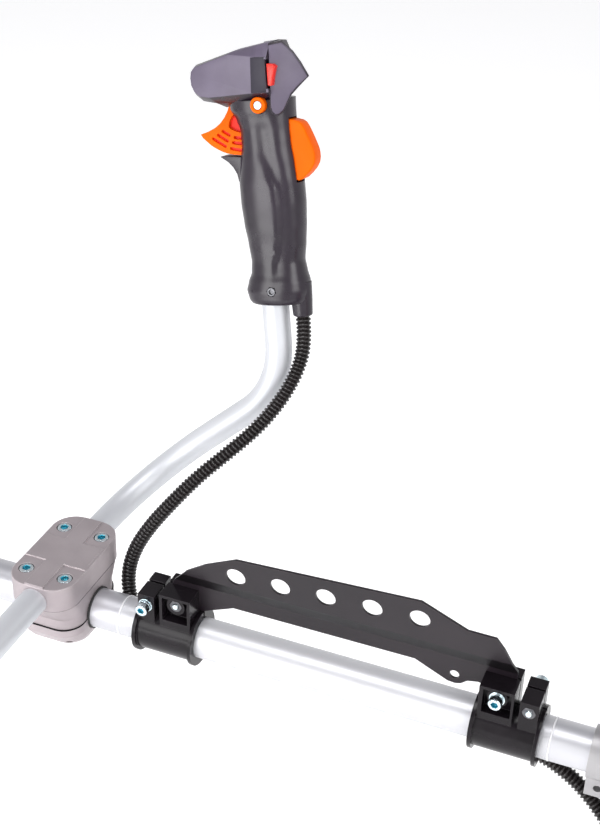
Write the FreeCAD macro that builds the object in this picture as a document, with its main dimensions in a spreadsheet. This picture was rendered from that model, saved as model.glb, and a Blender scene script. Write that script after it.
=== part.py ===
"""String trimmer with a bicycle handlebar, as an assembly of separate pieces.

Millimetres, +Z up, +X from the cutting head to the engine. The geometry is drawn from the shaft
axis at the handlebar clamp (the "clamp point"); one Placement moves every piece into the row frame,
whose origin is the bottom centre of the whole machine.
"""
import math
import os

import FreeCAD
import Part
import Sketcher

V = FreeCAD.Vector
doc = FreeCAD.newDocument("string_trimmer")

# ----------------------------------------------------------------- driving dimensions (mm, degrees)
DIMENSIONS = {
    "shaft_radius": 14.0, "shaft_bore": 12.5, "shaft_front": -892.0, "shaft_back": 395.0,
    "drive_rod_radius": 4.0, "running_gap": 0.05,
    "bar_radius": 9.5, "bar_bore": 8.0, "bar_height": 29.0,
    "clamp_width": 48.0, "clamp_length": 84.0, "clamp_corner": 17.0, "clamp_top": 41.2,
    "clamp_split": 22.0, "clamp_bottom": -21.0, "clamp_neck": 66.0,
    "screw_x": 14.8, "screw_y": 25.5, "screw_head": 4.9, "screw_shank": 3.0,
    "bracket_length": 44.0, "bracket_sleeve": 17.6, "bracket_flange": 20.0,
    "bracket_front_x": 60.5, "bracket_rear_x": 341.5,
    "plate_thickness": 2.0, "plate_hole": 6.9,
    "collar_front": 373.0, "collar_radius": 17.0, "fan_radius": 80.0, "starter_radius": 62.0,
    "cylinder_bore": 20.0, "crank_throw": 15.0, "base_drop": 135.0,
    "head_tilt": 20.0, "gear_apex_x": -925.0, "guard_radius": 150.0, "line_reach": 138.0,
    "clamp_x": 188.0, "clamp_y": 68.0, "flange_bolts": 66.5,
}
sheet = doc.addObject("Spreadsheet::Sheet", "Dimensions")
for row, (alias, value) in enumerate(DIMENSIONS.items(), start=1):
    sheet.set("A%d" % row, alias)
    sheet.set("B%d" % row, str(value))
    sheet.setAlias("B%d" % row, alias)
doc.recompute()


def size(alias):
    """A driving dimension, read back from the sheet."""
    return float(sheet.get(alias))


CLAMP_POINT = FreeCAD.Placement(V(size("clamp_x"), size("clamp_y"), size("base_drop")), FreeCAD.Rotation())
NODES = {}


def node(name, obj, frame=None):
    """Registers obj as the sub-part called name and moves it into the row frame."""
    obj.Label = name
    place = CLAMP_POINT.multiply(frame) if frame else CLAMP_POINT
    obj.Placement = place.multiply(obj.Placement)
    NODES[name] = obj
    return obj


def bind(obj, **expressions):
    """Binds properties to the sheet; a bare number stays a number."""
    for prop, expression in expressions.items():
        if isinstance(expression, str):
            for alias in sorted(DIMENSIONS, key=len, reverse=True):
                expression = expression.replace("#" + alias, "Dimensions." + alias)
            obj.setExpression(prop, expression)
        else:
            setattr(obj, prop, expression)
    return obj


AXES = {"x": V(1, 0, 0), "y": V(0, 1, 0), "z": V(0, 0, 1)}


def turn_to(direction):
    """Rotation that takes +Z to a direction, or to a named axis."""
    axis = AXES[direction] if isinstance(direction, str) else direction
    return FreeCAD.Rotation(V(0, 0, 1), axis)


def rod(radius, length, at=(0, 0, 0), along="x"):
    """Part::Cylinder from a point along a direction."""
    obj = bind(doc.addObject("Part::Cylinder", "Rod"), Radius=radius, Height=length)
    obj.Placement = FreeCAD.Placement(V(*at), turn_to(along))
    return obj


def hexagon(radius, length, at, along="x"):
    """Part::Prism with six sides, corner radius given."""
    obj = bind(doc.addObject("Part::Prism", "Hexagon"), Polygon=6, Circumradius=radius, Height=length)
    obj.Placement = FreeCAD.Placement(V(*at), turn_to(along))
    return obj


def block(length, width, height, at=(0, 0, 0)):
    """Part::Box whose low corner is at a point."""
    obj = bind(doc.addObject("Part::Box", "Block"), Length=length, Width=width, Height=height)
    obj.Placement = FreeCAD.Placement(V(*at), FreeCAD.Rotation())
    return obj


def cone(radius_a, radius_b, length, at, along="x"):
    """Part::Cone from a point along a direction."""
    obj = bind(doc.addObject("Part::Cone", "Cone"), Radius1=radius_a, Radius2=radius_b, Height=length)
    obj.Placement = FreeCAD.Placement(V(*at), turn_to(along))
    return obj


def ball(radius, at):
    """Part::Sphere about a point."""
    obj = bind(doc.addObject("Part::Sphere", "Ball"), Radius=radius)
    obj.Placement = FreeCAD.Placement(V(*at), FreeCAD.Rotation())
    return obj


def fuse(*objects):
    """Part::MultiFuse of two or more objects."""
    obj = doc.addObject("Part::MultiFuse", "Fusion")
    obj.Shapes = list(objects)
    obj.Refine = False
    return obj


def cut(base, *tools):
    """Part::Cut of base by one tool or by the fusion of several."""
    obj = doc.addObject("Part::Cut", "Cut")
    obj.Base = base
    obj.Tool = tools[0] if len(tools) == 1 else fuse(*tools)
    return obj


def common(base, tool):
    """Part::Common of two objects."""
    obj = doc.addObject("Part::Common", "Common")
    obj.Base, obj.Tool = base, tool
    return obj


def group(*objects):
    """Part::Compound: separate solids that share one node."""
    obj = doc.addObject("Part::Compound", "Group")
    obj.Links = list(objects)
    return obj


def shape_of(shape, name="Shape"):
    """Part::Feature for a form that no primitive or sketch gives."""
    obj = doc.addObject("Part::Feature", name)
    obj.Shape = shape
    return obj


def sketch_on(body, role, points):
    """Closed polygon sketch on one of the body's origin planes; string coordinates are bound."""
    sketch = body.newObject("Sketcher::SketchObject", "Profile")
    plane = [f for f in body.Origin.OriginFeatures if f.Role == role][0]
    sketch.AttachmentSupport = [(plane, "")]
    sketch.MapMode = "FlatFace"
    numeric = [tuple(number(c) for c in point) for point in points]
    count = len(points)
    for i in range(count):
        a, b = numeric[i], numeric[(i + 1) % count]
        sketch.addGeometry(Part.LineSegment(V(a[0], a[1], 0), V(b[0], b[1], 0)), False)
    for i in range(count):
        sketch.addConstraint(Sketcher.Constraint("Coincident", i, 2, (i + 1) % count, 1))
    for i, point in enumerate(points):
        for kind, coordinate, value in (("DistanceX", point[0], numeric[i][0]),
                                        ("DistanceY", point[1], numeric[i][1])):
            index = sketch.addConstraint(Sketcher.Constraint(kind, -1, 1, i, 1, value))
            if isinstance(coordinate, str):
                sketch.setExpression("Constraints[%d]" % index, resolved(coordinate))
    return sketch


def resolved(expression):
    """An expression with #alias written as the sheet's cell."""
    for alias in sorted(DIMENSIONS, key=len, reverse=True):
        expression = expression.replace("#" + alias, "Dimensions." + alias)
    return expression


def number(coordinate):
    """The value of a coordinate that is a number, or #alias with an optional signed offset."""
    if not isinstance(coordinate, str):
        return float(coordinate)
    total, sign = 0.0, 1.0
    for token in coordinate.replace("+", " + ").replace("-", " - ").split():
        if token in "+-":
            sign = 1.0 if token == "+" else -1.0
        else:
            total += sign * (size(token[1:]) if token[0] == "#" else float(token))
            sign = 1.0
    return total


def turned(profile):
    """PartDesign body turned about X from an (axial, radial) profile."""
    body = doc.addObject("PartDesign::Body", "Turned")
    sketch = sketch_on(body, "XY_Plane", profile)
    feature = body.newObject("PartDesign::Revolution", "Revolution")
    feature.Profile = sketch
    feature.ReferenceAxis = (sketch, ["H_Axis"])
    feature.Angle = 360
    body.Tip = feature
    return body


def rounded_rectangle(length_x, length_y, corner, z):
    """Wire of a rectangle with round corners, centred, at a height."""
    hx, hy = length_x / 2, length_y / 2
    edges = []
    for sx, sy in ((1, -1), (1, 1), (-1, 1), (-1, -1)):
        centre = V(sx * (hx - corner), sy * (hy - corner), z)
        start = math.atan2(sy, sx) - math.pi / 4
        arc = Part.Arc(Part.Circle(centre, V(0, 0, 1), corner), start, start + math.pi / 2)
        edges.append(arc.toShape())
    joined = []
    for i, edge in enumerate(edges):
        following = edges[(i + 1) % 4]
        joined.append(edge)
        if (edge.lastVertex().Point - following.firstVertex().Point).Length > 1e-6:
            joined.append(Part.LineSegment(edge.lastVertex().Point, following.firstVertex().Point).toShape())
    return Part.Wire(Part.__sortEdges__(joined))


def loft(*wires, ruled=True):
    """Closed solid through the wires."""
    return Part.makeLoft(list(wires), True, ruled)


def rounded_path(points, radii):
    """Straight runs joined by tangent arcs, and the radius used at each inner point."""
    edges, start = [], points[0]
    for before, corner, after, radius in zip(points, points[1:], points[2:], radii):
        back, ahead = (before - corner).normalize(), (after - corner).normalize()
        half = back.getAngle(ahead) / 2
        reach = radius / math.tan(half)
        centre = corner + (back + ahead).normalize() * (radius / math.sin(half))
        middle = centre + (corner - centre).normalize() * radius
        first, last = corner + back * reach, corner + ahead * reach
        edges.append(Part.LineSegment(start, first).toShape())
        edges.append(Part.Arc(first, middle, last).toShape())
        start = last
    edges.append(Part.LineSegment(start, points[-1]).toShape())
    return Part.Wire(edges)


def pipe(path, radius):
    """Round bar swept along a path that starts with a straight run."""
    start, tangent = path.Edges[0].firstVertex().Point, path.Edges[0].tangentAt(path.Edges[0].FirstParameter)
    section = Part.Wire([Part.Circle(start, tangent, radius).toShape()])
    return path.makePipeShell([section], True, False)


# ----------------------------------------------------------------- shaft
def make_shaft():
    front, back = size("shaft_front"), size("shaft_back")
    length = "#shaft_back - #shaft_front"
    node("shaft_tube", cut(rod("#shaft_radius", length, (front, 0, 0)),
                           rod("#shaft_bore", length, (front, 0, 0))))
    node("drive_shaft", rod("#drive_rod_radius", "#shaft_back - #shaft_front + 13", (front + 5, 0, 0)))
    bushes = []
    for i in range(5):
        x = front + (i + 0.6) * (back - front) / 5
        bushes.append(cut(rod("#shaft_bore - 0.02", 22, (x, 0, 0)),
                          rod("#drive_rod_radius + #running_gap", 22, (x, 0, 0))))
    node("shaft_bushes", group(*bushes))


# ----------------------------------------------------------------- handlebar clamp
def clamp_screw_places():
    return [(sx * size("screw_x"), sy * size("screw_y")) for sx in (-1, 1) for sy in (-1, 1)]


def make_clamp():
    width, length, corner = size("clamp_width"), size("clamp_length"), size("clamp_corner")
    top, split, bottom = size("clamp_top"), size("clamp_split"), size("clamp_bottom")
    neck = size("clamp_neck")
    bar_tunnel = rod("#bar_radius", "#clamp_length + 20", (0, -length / 2 - 10, size("bar_height")), "y")
    shaft_tunnel = rod("#shaft_radius + 1", "#clamp_width + 20", (-width / 2 - 10, 0, 0))
    wells = [rod("#screw_head + 0.6", 6, (x, y, top - 5.4), "z") for x, y in clamp_screw_places()]
    bores = [rod("#screw_shank + 0.2", 60, (x, y, bottom + 4), "z") for x, y in clamp_screw_places()]
    steps = [block(20, 32, 2, (x, y, top - 0.8)) for x in (-27, 7) for y in (-45, 13)]

    cap = shape_of(loft(rounded_rectangle(width, length, corner, split),
                        rounded_rectangle(width, length, corner, top - 1.2),
                        rounded_rectangle(width - 2.4, length - 2.4, corner - 1.2, top)))
    node("clamp_top_cap", cut(cap, bar_tunnel, *wells, *bores, *steps))

    middle = shape_of(loft(rounded_rectangle(width - 1, neck, corner - 2, 0.1),
                           rounded_rectangle(width - 1, neck, corner - 2, 8),
                           rounded_rectangle(width, length - 2, corner, split - 0.1)))
    node("clamp_middle_block", cut(middle, bar_tunnel, shaft_tunnel, *bores))

    lower = shape_of(loft(rounded_rectangle(width - 8, neck - 22, corner - 2, bottom),
                          rounded_rectangle(width - 2, neck - 8, corner - 2, bottom + 7),
                          rounded_rectangle(width, neck + 2, corner - 2, -6),
                          rounded_rectangle(width, neck + 2, corner - 2, -0.1)))
    node("clamp_bottom_cap", cut(lower, shaft_tunnel, *bores))

    ring = cut(rod("#shaft_radius + 1", "#clamp_width + 2", (-width / 2 - 1, 0, 0)),
               rod("#shaft_radius", "#clamp_width + 2", (-width / 2 - 1, 0, 0)))
    node("clamp_rubber_ring", ring)

    screws = []
    for x, y in clamp_screw_places():
        head = rod("#screw_head", 4.6, (x, y, top - 5.3), "z")
        shank = rod("#screw_shank", 51, (x, y, top - 56), "z")
        screws.append(cut(fuse(head, shank), hexagon(2.9, 3, (x, y, top - 3.2), "z")))
    node("clamp_screws", group(*screws))


# ----------------------------------------------------------------- handlebar
RIGHT_ARM = [V(0, 0, 29), V(0, 120.4, 29), V(106.6, 130.1, 127.5), V(82.3, 156.9, 255.9)]
LEFT_ARM = [V(0, 0, 29), V(0, -285, 29), V(104, -293, 125), V(84, -317, 262)]
ARM_RADII = (73.0, 59.8)
LEFT_ARM_RADII = (62.0, 50.0)


def make_handlebar():
    backwards = list(reversed(LEFT_ARM))[:-1]
    points = backwards + RIGHT_ARM[1:]
    radii = tuple(reversed(LEFT_ARM_RADII)) + ARM_RADII
    path = rounded_path(points, radii)
    outer = pipe(path, size("bar_radius"))
    inner = pipe(path, size("bar_bore"))
    node("handlebar_tube", shape_of(outer.cut(inner)))

    top, knee = LEFT_ARM[3], LEFT_ARM[2]
    upward = (top - knee).normalize()
    foot = top - upward * 112
    ribs = [rod(16.2, 2.5, tuple(foot + upward * (12 + 8 * i)), upward) for i in range(11)]
    sleeve = fuse(rod(15.2, 116, tuple(foot), upward), rod(19, 5, tuple(foot), upward), *ribs)
    node("left_hand_grip", cut(sleeve, rod("#bar_radius", 112, tuple(foot), upward)))


# ----------------------------------------------------------------- throttle grip
GRIP_UP = (RIGHT_ARM[3] - RIGHT_ARM[2]).normalize()
GRIP_FOOT = RIGHT_ARM[2] + GRIP_UP * 63.3
GRIP_AWAY = (V(0, 1, 0) - GRIP_UP * GRIP_UP.y).normalize()
GRIP_BACK = GRIP_AWAY.cross(GRIP_UP).normalize()
GRIP_FRAME = FreeCAD.Placement(FreeCAD.Matrix(
    GRIP_BACK.x, GRIP_AWAY.x, GRIP_UP.x, GRIP_FOOT.x,
    GRIP_BACK.y, GRIP_AWAY.y, GRIP_UP.y, GRIP_FOOT.y,
    GRIP_BACK.z, GRIP_AWAY.z, GRIP_UP.z, GRIP_FOOT.z, 0, 0, 0, 1))
# height, centre x, half depth x, half width y of the hand part
GRIP_STATIONS = [(0, 4.6, 20, 15.5), (8, 4, 22, 17), (16, 4.3, 21.5, 16.5), (28, 5, 17.8, 14.5),
                 (40, 4.9, 19.3, 15), (56, 4.8, 21.4, 16), (72, 4.6, 22, 16.8), (88, 4.4, 21.6, 17),
                 (104, 3.8, 19, 16), (118, 3.4, 17, 15.5), (132, 2.5, 18.5, 17)]
# outlines of the grip's head as (x, z): in its middle plane and on its two flat sides
HEAD_MIDDLE = [(-40, 137), (-44, 150), (-38.5, 163), (-11, 171.4), (17, 176.2), (26, 176.2), (34, 168.5),
               (41, 151.5), (30, 139), (24, 124), (-17, 127)]
HEAD_SIDE = [(-33, 141), (-39.5, 152), (-35, 161.4), (-11, 168.4), (13, 170), (21, 168), (27, 163),
             (30, 152), (22, 142), (15, 128), (-8, 131)]
TRIGGER_PIVOT = V(-9, 0, 145)
LOCKOUT_PIVOT = V(19.0, 0, 117)
BUTTON_X, BUTTON_Z = 6.3, 135
TRIGGER_OUTLINE = [(-21.5, 131), (-33, 125), (-43.7, 115.8), (-32, 106.3), (-17, 101), (-9, 100.5), (-6, 105),
                   (0, 125), (-2, 148), (-9, 151), (-15, 148)]
TRIGGER_SLOT = [(-60, 134.5), (-24, 134.5), (-18, 151), (-9, 154), (1, 151), (5, 140), (7, 120), (7, 104),
                (3, 100.7),
                (-9, 99.1), (-20.9, 100.7), (-32, 105.2), (-41.5, 112.5), (-60, 113)]
LOCKOUT_SLOT = [(11.5, 124), (20, 125), (30, 126), (50, 126), (50, 78), (27, 82.5), (14, 82.5), (7.5, 88),
                (9, 105)]
LOCKOUT_OUTLINE = [(15, 121), (21.3, 123.3), (28.3, 121.6), (33, 111), (36.5, 98.9), (34.3, 90.5),
                   (27.5, 83.7),
                   (17, 86), (15, 100)]


def upright_outline(points, y):
    """Closed wire in an XZ plane."""
    corners = [V(x, y, z) for x, z in points]
    return Part.makePolygon(corners + corners[:1])


def plate_of(points, low_y, high_y):
    """Prism over an XZ outline between two y values."""
    return Part.Face(upright_outline(points, low_y)).extrude(V(0, high_y - low_y, 0))


def grip_solid():
    rings = []
    for height, centre, depth, width in GRIP_STATIONS:
        ellipse = Part.Ellipse(V(centre, 0, height), max(depth, width), min(depth, width))
        if width > depth:
            ellipse.rotate(FreeCAD.Placement(V(0, 0, 0), FreeCAD.Rotation(V(0, 0, 1), 90)))
        rings.append(Part.Wire([ellipse.toShape()]))
    hand = Part.makeLoft(rings, True, False)
    near = Part.makeLoft([upright_outline(HEAD_MIDDLE, 0), upright_outline(HEAD_MIDDLE, -8),
                          upright_outline(HEAD_SIDE, -21)], True, True)
    far = near.mirror(V(0, 0, 0), V(0, 1, 0))
    hook = plate_of([(-29.8, 100.4), (-14, 99), (-12, 84), (-17, 86), (-22, 95)], -6, 6)
    return hand.fuse([near, far, hook])


def make_grip():
    solid = grip_solid()
    socket = Part.makeCylinder(6.8, 22, V(20.3, 0, -9.4)).fuse(Part.makeCylinder(7.6, 4, V(20.3, 0, -2)))
    bar = Part.makeCylinder(size("bar_radius") + 0.02, 74, V(0, 0, -1), V(0, 0, 1))
    trigger_room = plate_of(TRIGGER_SLOT, -6.6, 6.6)
    lockout_room = plate_of(LOCKOUT_SLOT, -6.6, 6.6)
    switch_room = Part.makeBox(9, 13.5, 17, V(14.5, -26, 146))
    boss_room = Part.makeCylinder(6.0, 14, V(BUTTON_X, -27, BUTTON_Z), V(0, 1, 0))
    pivots = Part.makeCylinder(2.03, 26, V(-9, -13, 145), V(0, 1, 0))
    pivots = pivots.fuse(Part.makeCylinder(1.6, 26, V(19, -13, 117), V(0, 1, 0)))
    screw_rooms = Part.makeCylinder(3.4, 8, V(5.3, -22, 10), V(0, 1, 0))
    screw_rooms = screw_rooms.fuse(Part.makeCylinder(1.7, 30, V(5.3, -15, 10), V(0, 1, 0)))
    cable_way = Part.makeCylinder(4.0, 110, V(14, 0, 12))
    rooms = [bar, trigger_room, lockout_room, boss_room, pivots, screw_rooms, cable_way, switch_room]
    near_side = Part.makeBox(200, 60, 300, V(-100, -60.06, -50))
    far_side = Part.makeBox(200, 60, 300, V(-100, 0.06, -50))
    near = solid.common(near_side).cut(rooms + [socket])
    conduit_way = Part.makeCylinder(5.0, 60, V(20.3, 0, -20))
    far = solid.common(far_side).fuse(socket.cut(bar)).cut(rooms[:-1] + [conduit_way])
    node("grip_shell_near", shape_of(largest(near)), GRIP_FRAME)
    node("grip_shell_far", shape_of(largest(far)), GRIP_FRAME)

    trigger = plate_of(TRIGGER_OUTLINE, -6, 6)
    bore = Part.makeCylinder(2.08, 14, V(-9, -7, 145), V(0, 1, 0))
    node("throttle_trigger", shape_of(trigger.cut(bore)), GRIP_FRAME)
    lockout_bore = Part.makeCylinder(1.66, 14, V(19, -7, 117), V(0, 1, 0))
    node("lockout_lever", shape_of(plate_of(LOCKOUT_OUTLINE, -6, 6).cut(lockout_bore)), GRIP_FRAME)
    rocker = plate_of([(15.2, 147), (22.8, 147), (22.8, 161.6), (15.2, 161.6)], -20.6, -15)
    node("stop_switch", shape_of(rocker), GRIP_FRAME)

    button = Part.makeCylinder(5.6, 6, V(BUTTON_X, -22.0, BUTTON_Z), V(0, 1, 0))
    button = button.cut(Part.makeCylinder(3.2, 1.2, V(BUTTON_X, -22.1, BUTTON_Z), V(0, 1, 0)))
    button = button.fuse(Part.makeCylinder(2.7, 2, V(BUTTON_X, -21.9, BUTTON_Z), V(0, 1, 0)))
    node("throttle_lock_button", shape_of(button), GRIP_FRAME)
    pin = Part.makeCylinder(2.0, 25, V(-9, -12.5, 145), V(0, 1, 0))
    lockout_pin = Part.makeCylinder(1.57, 25, V(19, -12.5, 117), V(0, 1, 0))
    foot_screw = Part.makeCylinder(3.1, 4, V(5.3, -18, 10), V(0, 1, 0))
    foot_screw = foot_screw.fuse(Part.makeCylinder(1.6, 28, V(5.3, -14.5, 10), V(0, 1, 0)))
    foot_screw = foot_screw.cut(bar)
    screws = Part.makeCompound([pin, lockout_pin] + foot_screw.Solids)
    node("grip_screws", shape_of(screws), GRIP_FRAME)


def largest(shape):
    """The biggest solid of a shape."""
    return sorted(shape.Solids, key=lambda s: s.Volume)[-1]


# ----------------------------------------------------------------- throttle conduit
CONDUIT_RADIUS = 5.3
CONDUIT_ROUTE = [V(116.8, 140.9, 182.9), V(120.1, 137.3, 165.4), V(118.8, 131.5, 147), V(113.5, 117, 129.5),
                 V(104, 96, 114.5), V(90, 78, 101), V(73, 63, 85), V(57, 51, 65), V(43.5, 43.3, 46),
                 V(33.5, 37.5, 26.5), V(30.2, 32.2, 6.5), V(35, 27.5, -13), V(49.5, 23, -27),
                 V(71, 18.5, -32), V(94, 15.5, -27.5), V(119, 13, -21), V(150, 12.8, -19.5),
                 V(184, 14, -20.8), V(220, 15.5, -20),
                 V(257, 17, -22.3), V(292, 18.5, -26), V(324, 17, -27), V(350, 10.5, -29), V(371, 5.5, -38),
                 V(391, -4, -51.5), V(412, -22, -62), V(434, -45, -65), V(456, -66.5, -60),
                 V(477, -82, -49.5),
                 V(495, -90.5, -33), V(506, -93.5, -12), V(508, -94, 10), V(508, -94, 31.8)]


def make_conduit():
    points = CONDUIT_ROUTE
    radii = []
    for before, corner, after in zip(points, points[1:], points[2:]):
        run = min((corner - before).Length, (after - corner).Length)
        turn = math.pi - (before - corner).getAngle(after - corner)
        radii.append(0.45 * run / math.tan(turn / 2))
    node("throttle_conduit", shape_of(pipe(rounded_path(points, radii), CONDUIT_RADIUS)))


# ----------------------------------------------------------------- harness bracket and plate
SLIT_Y = 3.0          # middle plane of the slit that holds the plate
NARROW_BOLT = (8.5, 26.5)
WIDE_BOLT = (29.5, 29.5)


def make_bracket(name, end_x, way):
    """Split sleeve with a narrow and a wide lug; way is the X direction from its narrow end."""
    def span(a, b):
        return min(end_x + way * a, end_x + way * b)

    length = size("bracket_length")
    low = span(0, length)
    sleeve = fuse(rod("#bracket_sleeve", "#bracket_length", (low, 0, 0)),
                  rod("#bracket_flange", 2.5, (low, 0, 0)),
                  rod("#bracket_flange", 2.5, (low + length - 2.5, 0, 0)),
                  block(12, 26, 24, (span(2.5, 14.5), -13, 10)),
                  block(22.5, 26, 28, (span(18.5, 41), -13, 10)))
    tools = [rod("#shaft_radius + 0.02", "#bracket_length", (low, 0, 0)),
             block("#bracket_length", 2.06, 40, (low, SLIT_Y - 1.03, 8)),
             hexagon(4.75, 4.2, (end_x + way * NARROW_BOLT[0], 9 if way > 0 else -13.1, NARROW_BOLT[1]), "y"),
             hexagon(4.75, 4.1, (end_x + way * WIDE_BOLT[0], -10.6, WIDE_BOLT[1]), "y"),
             rod(2.7, 40, (end_x + way * NARROW_BOLT[0], -20, NARROW_BOLT[1]), "y"),
             rod(2.7, 40, (end_x + way * WIDE_BOLT[0], -20, WIDE_BOLT[1]), "y")]
    wide = end_x + way * WIDE_BOLT[0]
    pocket = cut(block(18.5, 8.5, 18.5, (wide - 9, -13.5, 17.5)),
                 rod(6.6, 12, (wide, -10.5, WIDE_BOLT[1]), "y"))
    tools.append(pocket)
    node(name, cut(sleeve, *tools))


def cap_screw(x, z, head_y, way, length):
    """M5 socket screw along Y; head_y is where the head bears and way points to the tip."""
    head = rod(4.25, 5, (x, head_y - 5 * way if way > 0 else head_y, z), "y")
    shank = rod(2.5, length, (x, head_y if way > 0 else head_y - length, z), "y")
    recess = hexagon(2.3, 2.6, (x, head_y - 5.1 if way > 0 else head_y + 2.5, z), "y")
    return cut(fuse(head, shank), recess)


def ring_y(outer, inner, thickness, x, y, z):
    """Washer or ring about a Y axis."""
    return cut(rod(outer, thickness, (x, y, z), "y"), rod(inner, thickness, (x, y, z), "y"))


def nut_y(x, y, z):
    """M5 nut about a Y axis."""
    return cut(hexagon(4.6, 4, (x, y, z), "y"), rod(2.55, 4, (x, y, z), "y"))


def make_hanger():
    make_bracket("hanger_bracket_front", size("bracket_front_x"), 1)
    make_bracket("hanger_bracket_rear", size("bracket_rear_x"), -1)
    front, rear = size("bracket_front_x"), size("bracket_rear_x")
    narrow_f, wide_f = front + NARROW_BOLT[0], front + WIDE_BOLT[0]
    narrow_r, wide_r = rear - NARROW_BOLT[0], rear - WIDE_BOLT[0]
    nz, wz = NARROW_BOLT[1], WIDE_BOLT[1]
    screws = [cap_screw(narrow_f, nz, -15.8, 1, 30), cap_screw(wide_f, wz, 14, -1, 25.5),
              cap_screw(narrow_r, nz, 15.8, -1, 30), cap_screw(wide_r, wz, -12.6, 1, 31)]
    node("hanger_screws", group(*screws))
    rings = [ring_y(5, 2.6, 1.1, narrow_f, -14.1, nz), ring_y(4.5, 2.6, 1.6, narrow_f, -15.75, nz),
             ring_y(5, 2.6, 1, wide_f, 13, wz), ring_y(5, 2.6, 1.1, narrow_r, 13, nz),
             ring_y(4.5, 2.6, 1.6, narrow_r, 14.15, nz), ring_y(5.2, 2.6, 1, wide_r, -11.5, wz),
             ring_y(4.4, 2.6, 1, wide_r, -12.55, wz),
             nut_y(narrow_f, 9, nz), nut_y(wide_f, -10.5, wz), nut_y(narrow_r, -13, nz),
             nut_y(wide_r, 13.05, wz)]
    node("hanger_nuts_and_washers", group(*rings))


PLATE_OUTLINE = [(79, 24), (79.5, 33), (83.2, 41.4), (93.5, 53.8), (108.1, 64.2), (130.8, 75.8),
                 (256.8, 83.4),
                 (287.3, 69.1), (305.7, 69), (311.3, 61.4), (320.5, 44), (321, 24), (296, 27), (289.5, 25.5),
                 (285, 21.8), (281.3, 20.8), (276.5, 21.2), (253.9, 31.6), (126.7, 30.9), (104, 21)]
PLATE_SECTION = [(3.0, 18), (3.0, 42), (0.0, 50.5), (-4.0, 86)]


def make_plate():
    """Bent strip, cut to its outline, with a row of lightening holes."""
    half = size("plate_thickness") / 2
    near = [V(50, y - half, z) for y, z in PLATE_SECTION]
    far = [V(50, y + half, z) for y, z in reversed(PLATE_SECTION)]
    strip = Part.Face(Part.makePolygon(near + far + near[:1])).extrude(V(300, 0, 0))
    outline = plate_of(PLATE_OUTLINE, -20, 20)
    plate = strip.common(outline)
    for i in range(5):
        x, z = 130.2 + 31.5 * i, 60.9 + 1.92 * i
        plate = plate.cut(Part.makeCylinder(size("plate_hole"), 40, V(x, -20, z), V(0, 1, 0)))
    plate = plate.cut(Part.makeCylinder(3.3, 40, V(280.5, -20, 27.6), V(0, 1, 0)))
    for x in (size("bracket_front_x") + WIDE_BOLT[0], size("bracket_rear_x") - WIDE_BOLT[0]):
        plate = plate.cut(Part.makeCylinder(2.7, 40, V(x, -20, WIDE_BOLT[1]), V(0, 1, 0)))
    node("hanging_plate", shape_of(plate))


# ----------------------------------------------------------------- clutch and crank line
def flange_bolt_places():
    """The four (y, z) places of the screws between the clutch housing and the fan housing."""
    reach = size("flange_bolts") * math.sqrt(0.5)
    return [(sy * reach, sz * reach) for sy in (-1, 1) for sz in (-1, 1)]


def make_clutch():
    start = size("collar_front")
    housing = turned([("#collar_front", 14.03), ("#collar_front", "#collar_radius"), (400, 17.5), (408, 22),
                      (414, 44), (430, 60), (450, 60), (450, 72), (456, 72), (456, 56), (432, 56), (417, 41),
                      (412, 16), (412, 14.03)])
    lug = block(20, 14, 18, (start, -7, -31))
    node("clutch_housing", cut(fuse(housing, lug),
                               rod(14.03, 30, (start - 1, 0, 0)),
                               block(22, 2, 22, (start - 1, -1, -34)),
                               rod(2.7, 30, (start + 8, -15, -24), "y"),
                               *[rod(2.3, 12, (448, y, z)) for y, z in flange_bolt_places()]))
    drum = turned([(396, 4.01), (396, 5.98), (418, 5.98), (418, 12), (421, 39), (446, 39), (446, 36.8),
                   (424, 36.8), (424, 4.01)])
    node("clutch_drum", drum)
    rotor = turned([(427, 7.0), (427, 12), (429, 12), (429, 35.9), (443, 35.9), (443, 7.0)])
    slots = [block(20, 4, 80, (426, -2, -40)), block(20, 20, 5, (426, 14, -2.5)),
             block(20, 20, 5, (426, -34, -2.5))]
    node("clutch_rotor", cut(rotor, cut(slots[0], rod(14, 30, (425, 0, 0)))))
    bearings = [bearing(14.0, 6.02, 8, (x, 0, 0), "x") for x in (396, 404)]
    bearings += [bearing(17.5, 7.54, 11, (x, 0, 0), "x") for x in (508.5, 555)]
    tilt, apex = math.radians(size("head_tilt")), V(size("gear_apex_x"), 0, 0)
    out = V(-math.sin(tilt), 0, -math.cos(tilt))
    bearings.append(bearing(13.0, 5.04, 8, (apex.x + 24, 0, 0), "x"))
    bearings += [bearing(13.0, 5.04, 8, tuple(apex + out * w), out) for w in (8, 20)]
    node("ball_bearings", group(*bearings))


def bearing(outer, inner, width, at, along):
    """Ball bearing as one solid: two rings joined by a narrower web in place of its balls."""
    direction = AXES.get(along, along) if isinstance(along, str) else along
    middle = (outer + inner) / 2
    groove = [tuple(V(*at) - direction * 1), tuple(V(*at) + direction * (width - 1.2))]
    solid = cut(rod(outer, width, at, along), rod(inner, width, at, along))
    faces = [cut(rod(middle + 1.8, 2.2, g, along), rod(middle - 1.8, 2.2, g, along)) for g in groove]
    return cut(solid, *faces)


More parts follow.
